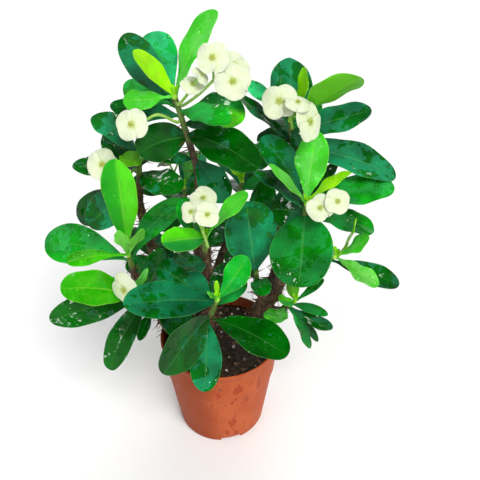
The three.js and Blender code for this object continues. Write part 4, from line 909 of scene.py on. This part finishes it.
pieces = {"grown": [], "young": []}
for number, (name, shoot) in enumerate(shoots.items()):
    random.seed(100 + number)
    top = 1.2 + (bark["underBud"] if shoot["young"] else 0)
    shells = [leafBlade(besideStem(shoot, max(row[2], top), row[3], 1.4), *row) for row in shoot["grown"]]
    grown = objectFrom("grown_" + name, shells, "grown")
    pieces["grown"].append(finish(grown, "grown_leaf", "leaves_" + name))
    if not shoot["young"]:
        continue
    shells = [leafBlade(besideStem(shoot, min(row[2], 2), row[3], 0.8), *row) for row in shoot["young"]]
    for k in range(tuft["leaves"]):
        azimuth = 360 / tuft["leaves"] * k + 25 * number
        row = ("lance", "lime", 0, azimuth, tuft["rise"], tuft["length"], tuft["width"], tuft["arch"])
        shells.append(leafBlade(besideStem(shoot, 1, azimuth, 0.5), *row))
    bud = tubeOf([belowTip(shoot, drop) for drop in (3.5, 2, 0.5, -0.8, -1.5)], [2.4, 2.5, 2.2, 1.7, 0.9], 12)
    bud["dryColour"] = bud["wetColour"] = np.tile(tinted("#A8D94A"), (len(bud["points"]), 1))
    young = objectFrom("young_" + name, [*shells, bud], "young")
    pieces["young"].append(finish(young, "young_leaf", "tips_" + name))
print("leaves:", sum(len(p.data.polygons) for p in pieces["grown"] + pieces["young"]), "faces")

# water drops: how far apart, how wide and the seed by the age of the leaf, then their shape
drops = {"young": (4.6, 0.8, 31), "grown": (7.5, 0.95, 32), "flat": 0.55, "sink": 0.1}
for age in ("young", "grown"):
    spacing, size, seed = drops[age]
    beads = scatterOn("drops" + age.title(), pieces[age], "drop", "water", Spacing=spacing, Width=size,
                      Length=size * drops["flat"], Smallest=0.35, Largest=1.5, Sink=drops["sink"], Seed=seed)
    beads.visible_shadow = False  # light passes through water
    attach(beads, "root")
    print("drops on", age, "leaves:", len(beads.data.polygons), "faces")

# a bract's outline is its reach at some angles from its middle, as shares of half the flower's width
flowerLook = {
    "outline": [(0, 0.93), (30, 1.0), (60, 0.99), (88, 0.88), (106, 0.7)], "spread": 104,
    "radial": 9, "around": 25, "thickness": 0.42, "dish": 0.14, "ruffle": 0.55, "crown": 0.4, "lap": 0.35,
    "stalk": 1.0, "neck": 1.25, "peduncle": 1.2, "cup": 0.066, "cupHeight": 1.2, "glands": 5, "styles": 3,
}
cupShape = ((0.1, 0.8), (0.5, 0.95), (1.2, 1.0), (1.5, 0.85), (1.45, 0.6), (0.9, 0.3))  # height, reach


def bractSheet(middle, face, up, sideways, width, sign):
    angles = np.radians(np.linspace(-flowerLook["spread"], flowerLook["spread"], flowerLook["around"]))
    steps = np.append(np.linspace(0.05, 0.95, flowerLook["radial"] - 2), [0.985, 1])
    known = np.array(flowerLook["outline"])
    known[0, 1] += random.uniform(-0.08, 0.03)  # no two bracts are notched alike
    known[-2:, 1] += random.uniform(-0.12, 0.05)
    reach = np.interp(np.abs(np.degrees(angles)), known[:, 0], known[:, 1]) * width / 2
    phase = random.uniform(0, 6)
    rings = []
    outward = np.outer(np.cos(angles) * reach, up * sign) + np.outer(np.sin(angles) * reach, sideways)
    for r in steps:
        height = -flowerLook["dish"] * reach * r * np.maximum(0.0, np.cos(angles)) ** 0.8
        height += flowerLook["ruffle"] * r ** 2 * np.sin(4 * angles + phase)
        height += flowerLook["crown"] * math.sin(math.pi * r) - sign * flowerLook["lap"]
        flat = middle + outward * r
        below = flat + np.outer(height - flowerLook["thickness"] * (1 - 0.5 * r), face)
        rings.append(np.concatenate([flat + np.outer(height, face), below[::-1]]))
    turns = np.concatenate([angles, angles[::-1]]) / math.pi
    return skinOf(rings, 1, uv=np.stack(np.broadcast_arrays(turns, steps[:, None]), -1))


def beadOf(centre, radius, axis, flat):
    across = unit(np.cross(axis, [0.3, 0.5, 0.8]))
    other = np.cross(axis, across)
    tilts = [math.pi * k / 6 for k in range(1, 6)]
    return skinOf([ringOf(centre - axis * math.cos(tilt) * radius * flat, across, other,
                          math.sin(tilt) * radius, 8) for tilt in tilts], 2)


def flowerShells(joint, middle, azimuth, rise, spin, width):
    middle = np.array(middle, float)
    face = heading(azimuth, rise)
    up = turned(heading(azimuth + 90, 0), face, spin)
    sideways = np.cross(up, face)
    back = middle - face * 2.2
    bend = (joint + back) / 2 + (middle - face * 5 - joint) * 0.12
    path = smoothPath([joint, bend, back, middle - face * 0.4], 5)
    shells = [tubeOf(path, np.linspace(flowerLook["stalk"], flowerLook["neck"], len(path)), 10)]
    shells += [bractSheet(middle, face, up, sideways, width, sign) for sign in (1, -1)]
    cup = flowerLook["cup"] * width
    shells.append(skinOf([ringOf(middle + face * height * flowerLook["cupHeight"] / 1.5, up, sideways,
                                 cup * reach, 16) for height, reach in cupShape], 2))
    for out in ringOf((0, 0, 0), up, sideways, 1, flowerLook["glands"], 0.4):
        shells.append(beadOf(middle + out * cup * 1.1 + face * 1.3, cup * 0.42, face, 0.5))
    for out in ringOf((0, 0, 0), up, sideways, 1, flowerLook["styles"]):
        path = [middle + face * 0.9, middle + face * 1.9 + out * 0.35, middle + face * 2.6 + out * 0.9]
        shells.append(tubeOf(path, [0.32, 0.3, 0.36], 6, 2))
    return shells


for number, (name, (shootName, drop, azimuth, stalk, flowers)) in enumerate(blooms.items()):
    random.seed(300 + number)
    shoot = shoots[shootName]
    share = drop / shoot["length"]
    radius = bark["shootTip"] + (bark["shootFoot"] - bark["shootTip"]) * share
    ends = [besideStem(shoot, drop, azimuth, radius + past) for past in (-0.6, 2.8)]
    path = smoothPath([*ends, *stalk], 6)
    shells = [tubeOf(path, np.linspace(1.35, flowerLook["peduncle"], len(path)), 10)]
    for flower in flowers:
        shells += flowerShells(path[-1], *flower)
    finish(objectFrom("flowers_" + name, shells, "stalk", "bract", "gland"), "bract", "bloom_" + name)
print("flower heads:", len(blooms))

floorReach = 4000
floorMesh = bpy.data.meshes.new("studioFloor")
corners = [(x * floorReach * mm, y * floorReach * mm, 0) for x, y in ((-1, -1), (1, -1), (1, 1), (-1, 1))]
floorMesh.from_pydata(corners, [], [(0, 1, 2, 3)])
floorMesh.materials.append(finishes["paper"])
floor = placed("studioFloor", floorMesh)
floor.location.z = -0.5 * mm

# azimuth and height of each sun, how wide it looks in degrees, its strength, and if it only glints
studio = {
    "key": (-62, 50, 28, 2.4, False), "fill": (-135, 40, 40, 0.5, False), "back": (75, 52, 40, 0.9, False),
    "sparkFront": (-108, 48, 6, 0.9, True), "sparkLow": (-118, 12, 8, 0.6, True),
    "sparkRight": (-29, 42, 6, 0.6, True), "sparkBack": (52, 55, 8, 0.45, True),
    "sparkLeft": (128, 38, 8, 0.35, True),
}
for name, (azimuth, height, spread, strength, glints) in studio.items():
    light = bpy.data.lights.new(name, "SUN")
    light.angle = math.radians(spread)
    light.energy = strength
    sun = placed(name, light)
    sun.rotation_euler = Vector(heading(azimuth, height)).to_track_quat("Z", "Y").to_euler()
    sun.visible_glossy = glints
    sun.visible_diffuse = not glints

studioSky = {"horizon": 0.95, "above": 0.22, "tint": "#FAFCFF"}  # pale walls all round, a darker ceiling
world = bpy.data.worlds.new("studioWorld")
world.use_nodes = True
sky = TreeMaker(world.node_tree)
direction = sky.out("ShaderNodeTexCoord", key="Generated")
rise = sky.out("ShaderNodeSeparateXYZ", {0: direction}, "Z")
sky.plug(world.node_tree.nodes["Background"], {
    "Color": colour(studioSky["tint"]),
    "Strength": sky.ranged(rise, 0.12, 0.5, studioSky["horizon"], studioSky["above"])})
bpy.context.scene.world = world
bpy.context.scene.view_settings.view_transform = "Standard"

photoCamera = {"place": (21.5, -432, 543), "pitchDown": 35, "lens": 42, "sensor": 36}
camera = bpy.data.cameras.new("photoCamera")
camera.lens = photoCamera["lens"]
camera.sensor_width = photoCamera["sensor"]
camera.clip_start = 0.01
viewer = placed("photoCamera", camera)
viewer.location = [number * mm for number in photoCamera["place"]]
viewer.rotation_euler = (math.radians(90 - photoCamera["pitchDown"]), 0, 0)
bpy.context.scene.camera = viewer
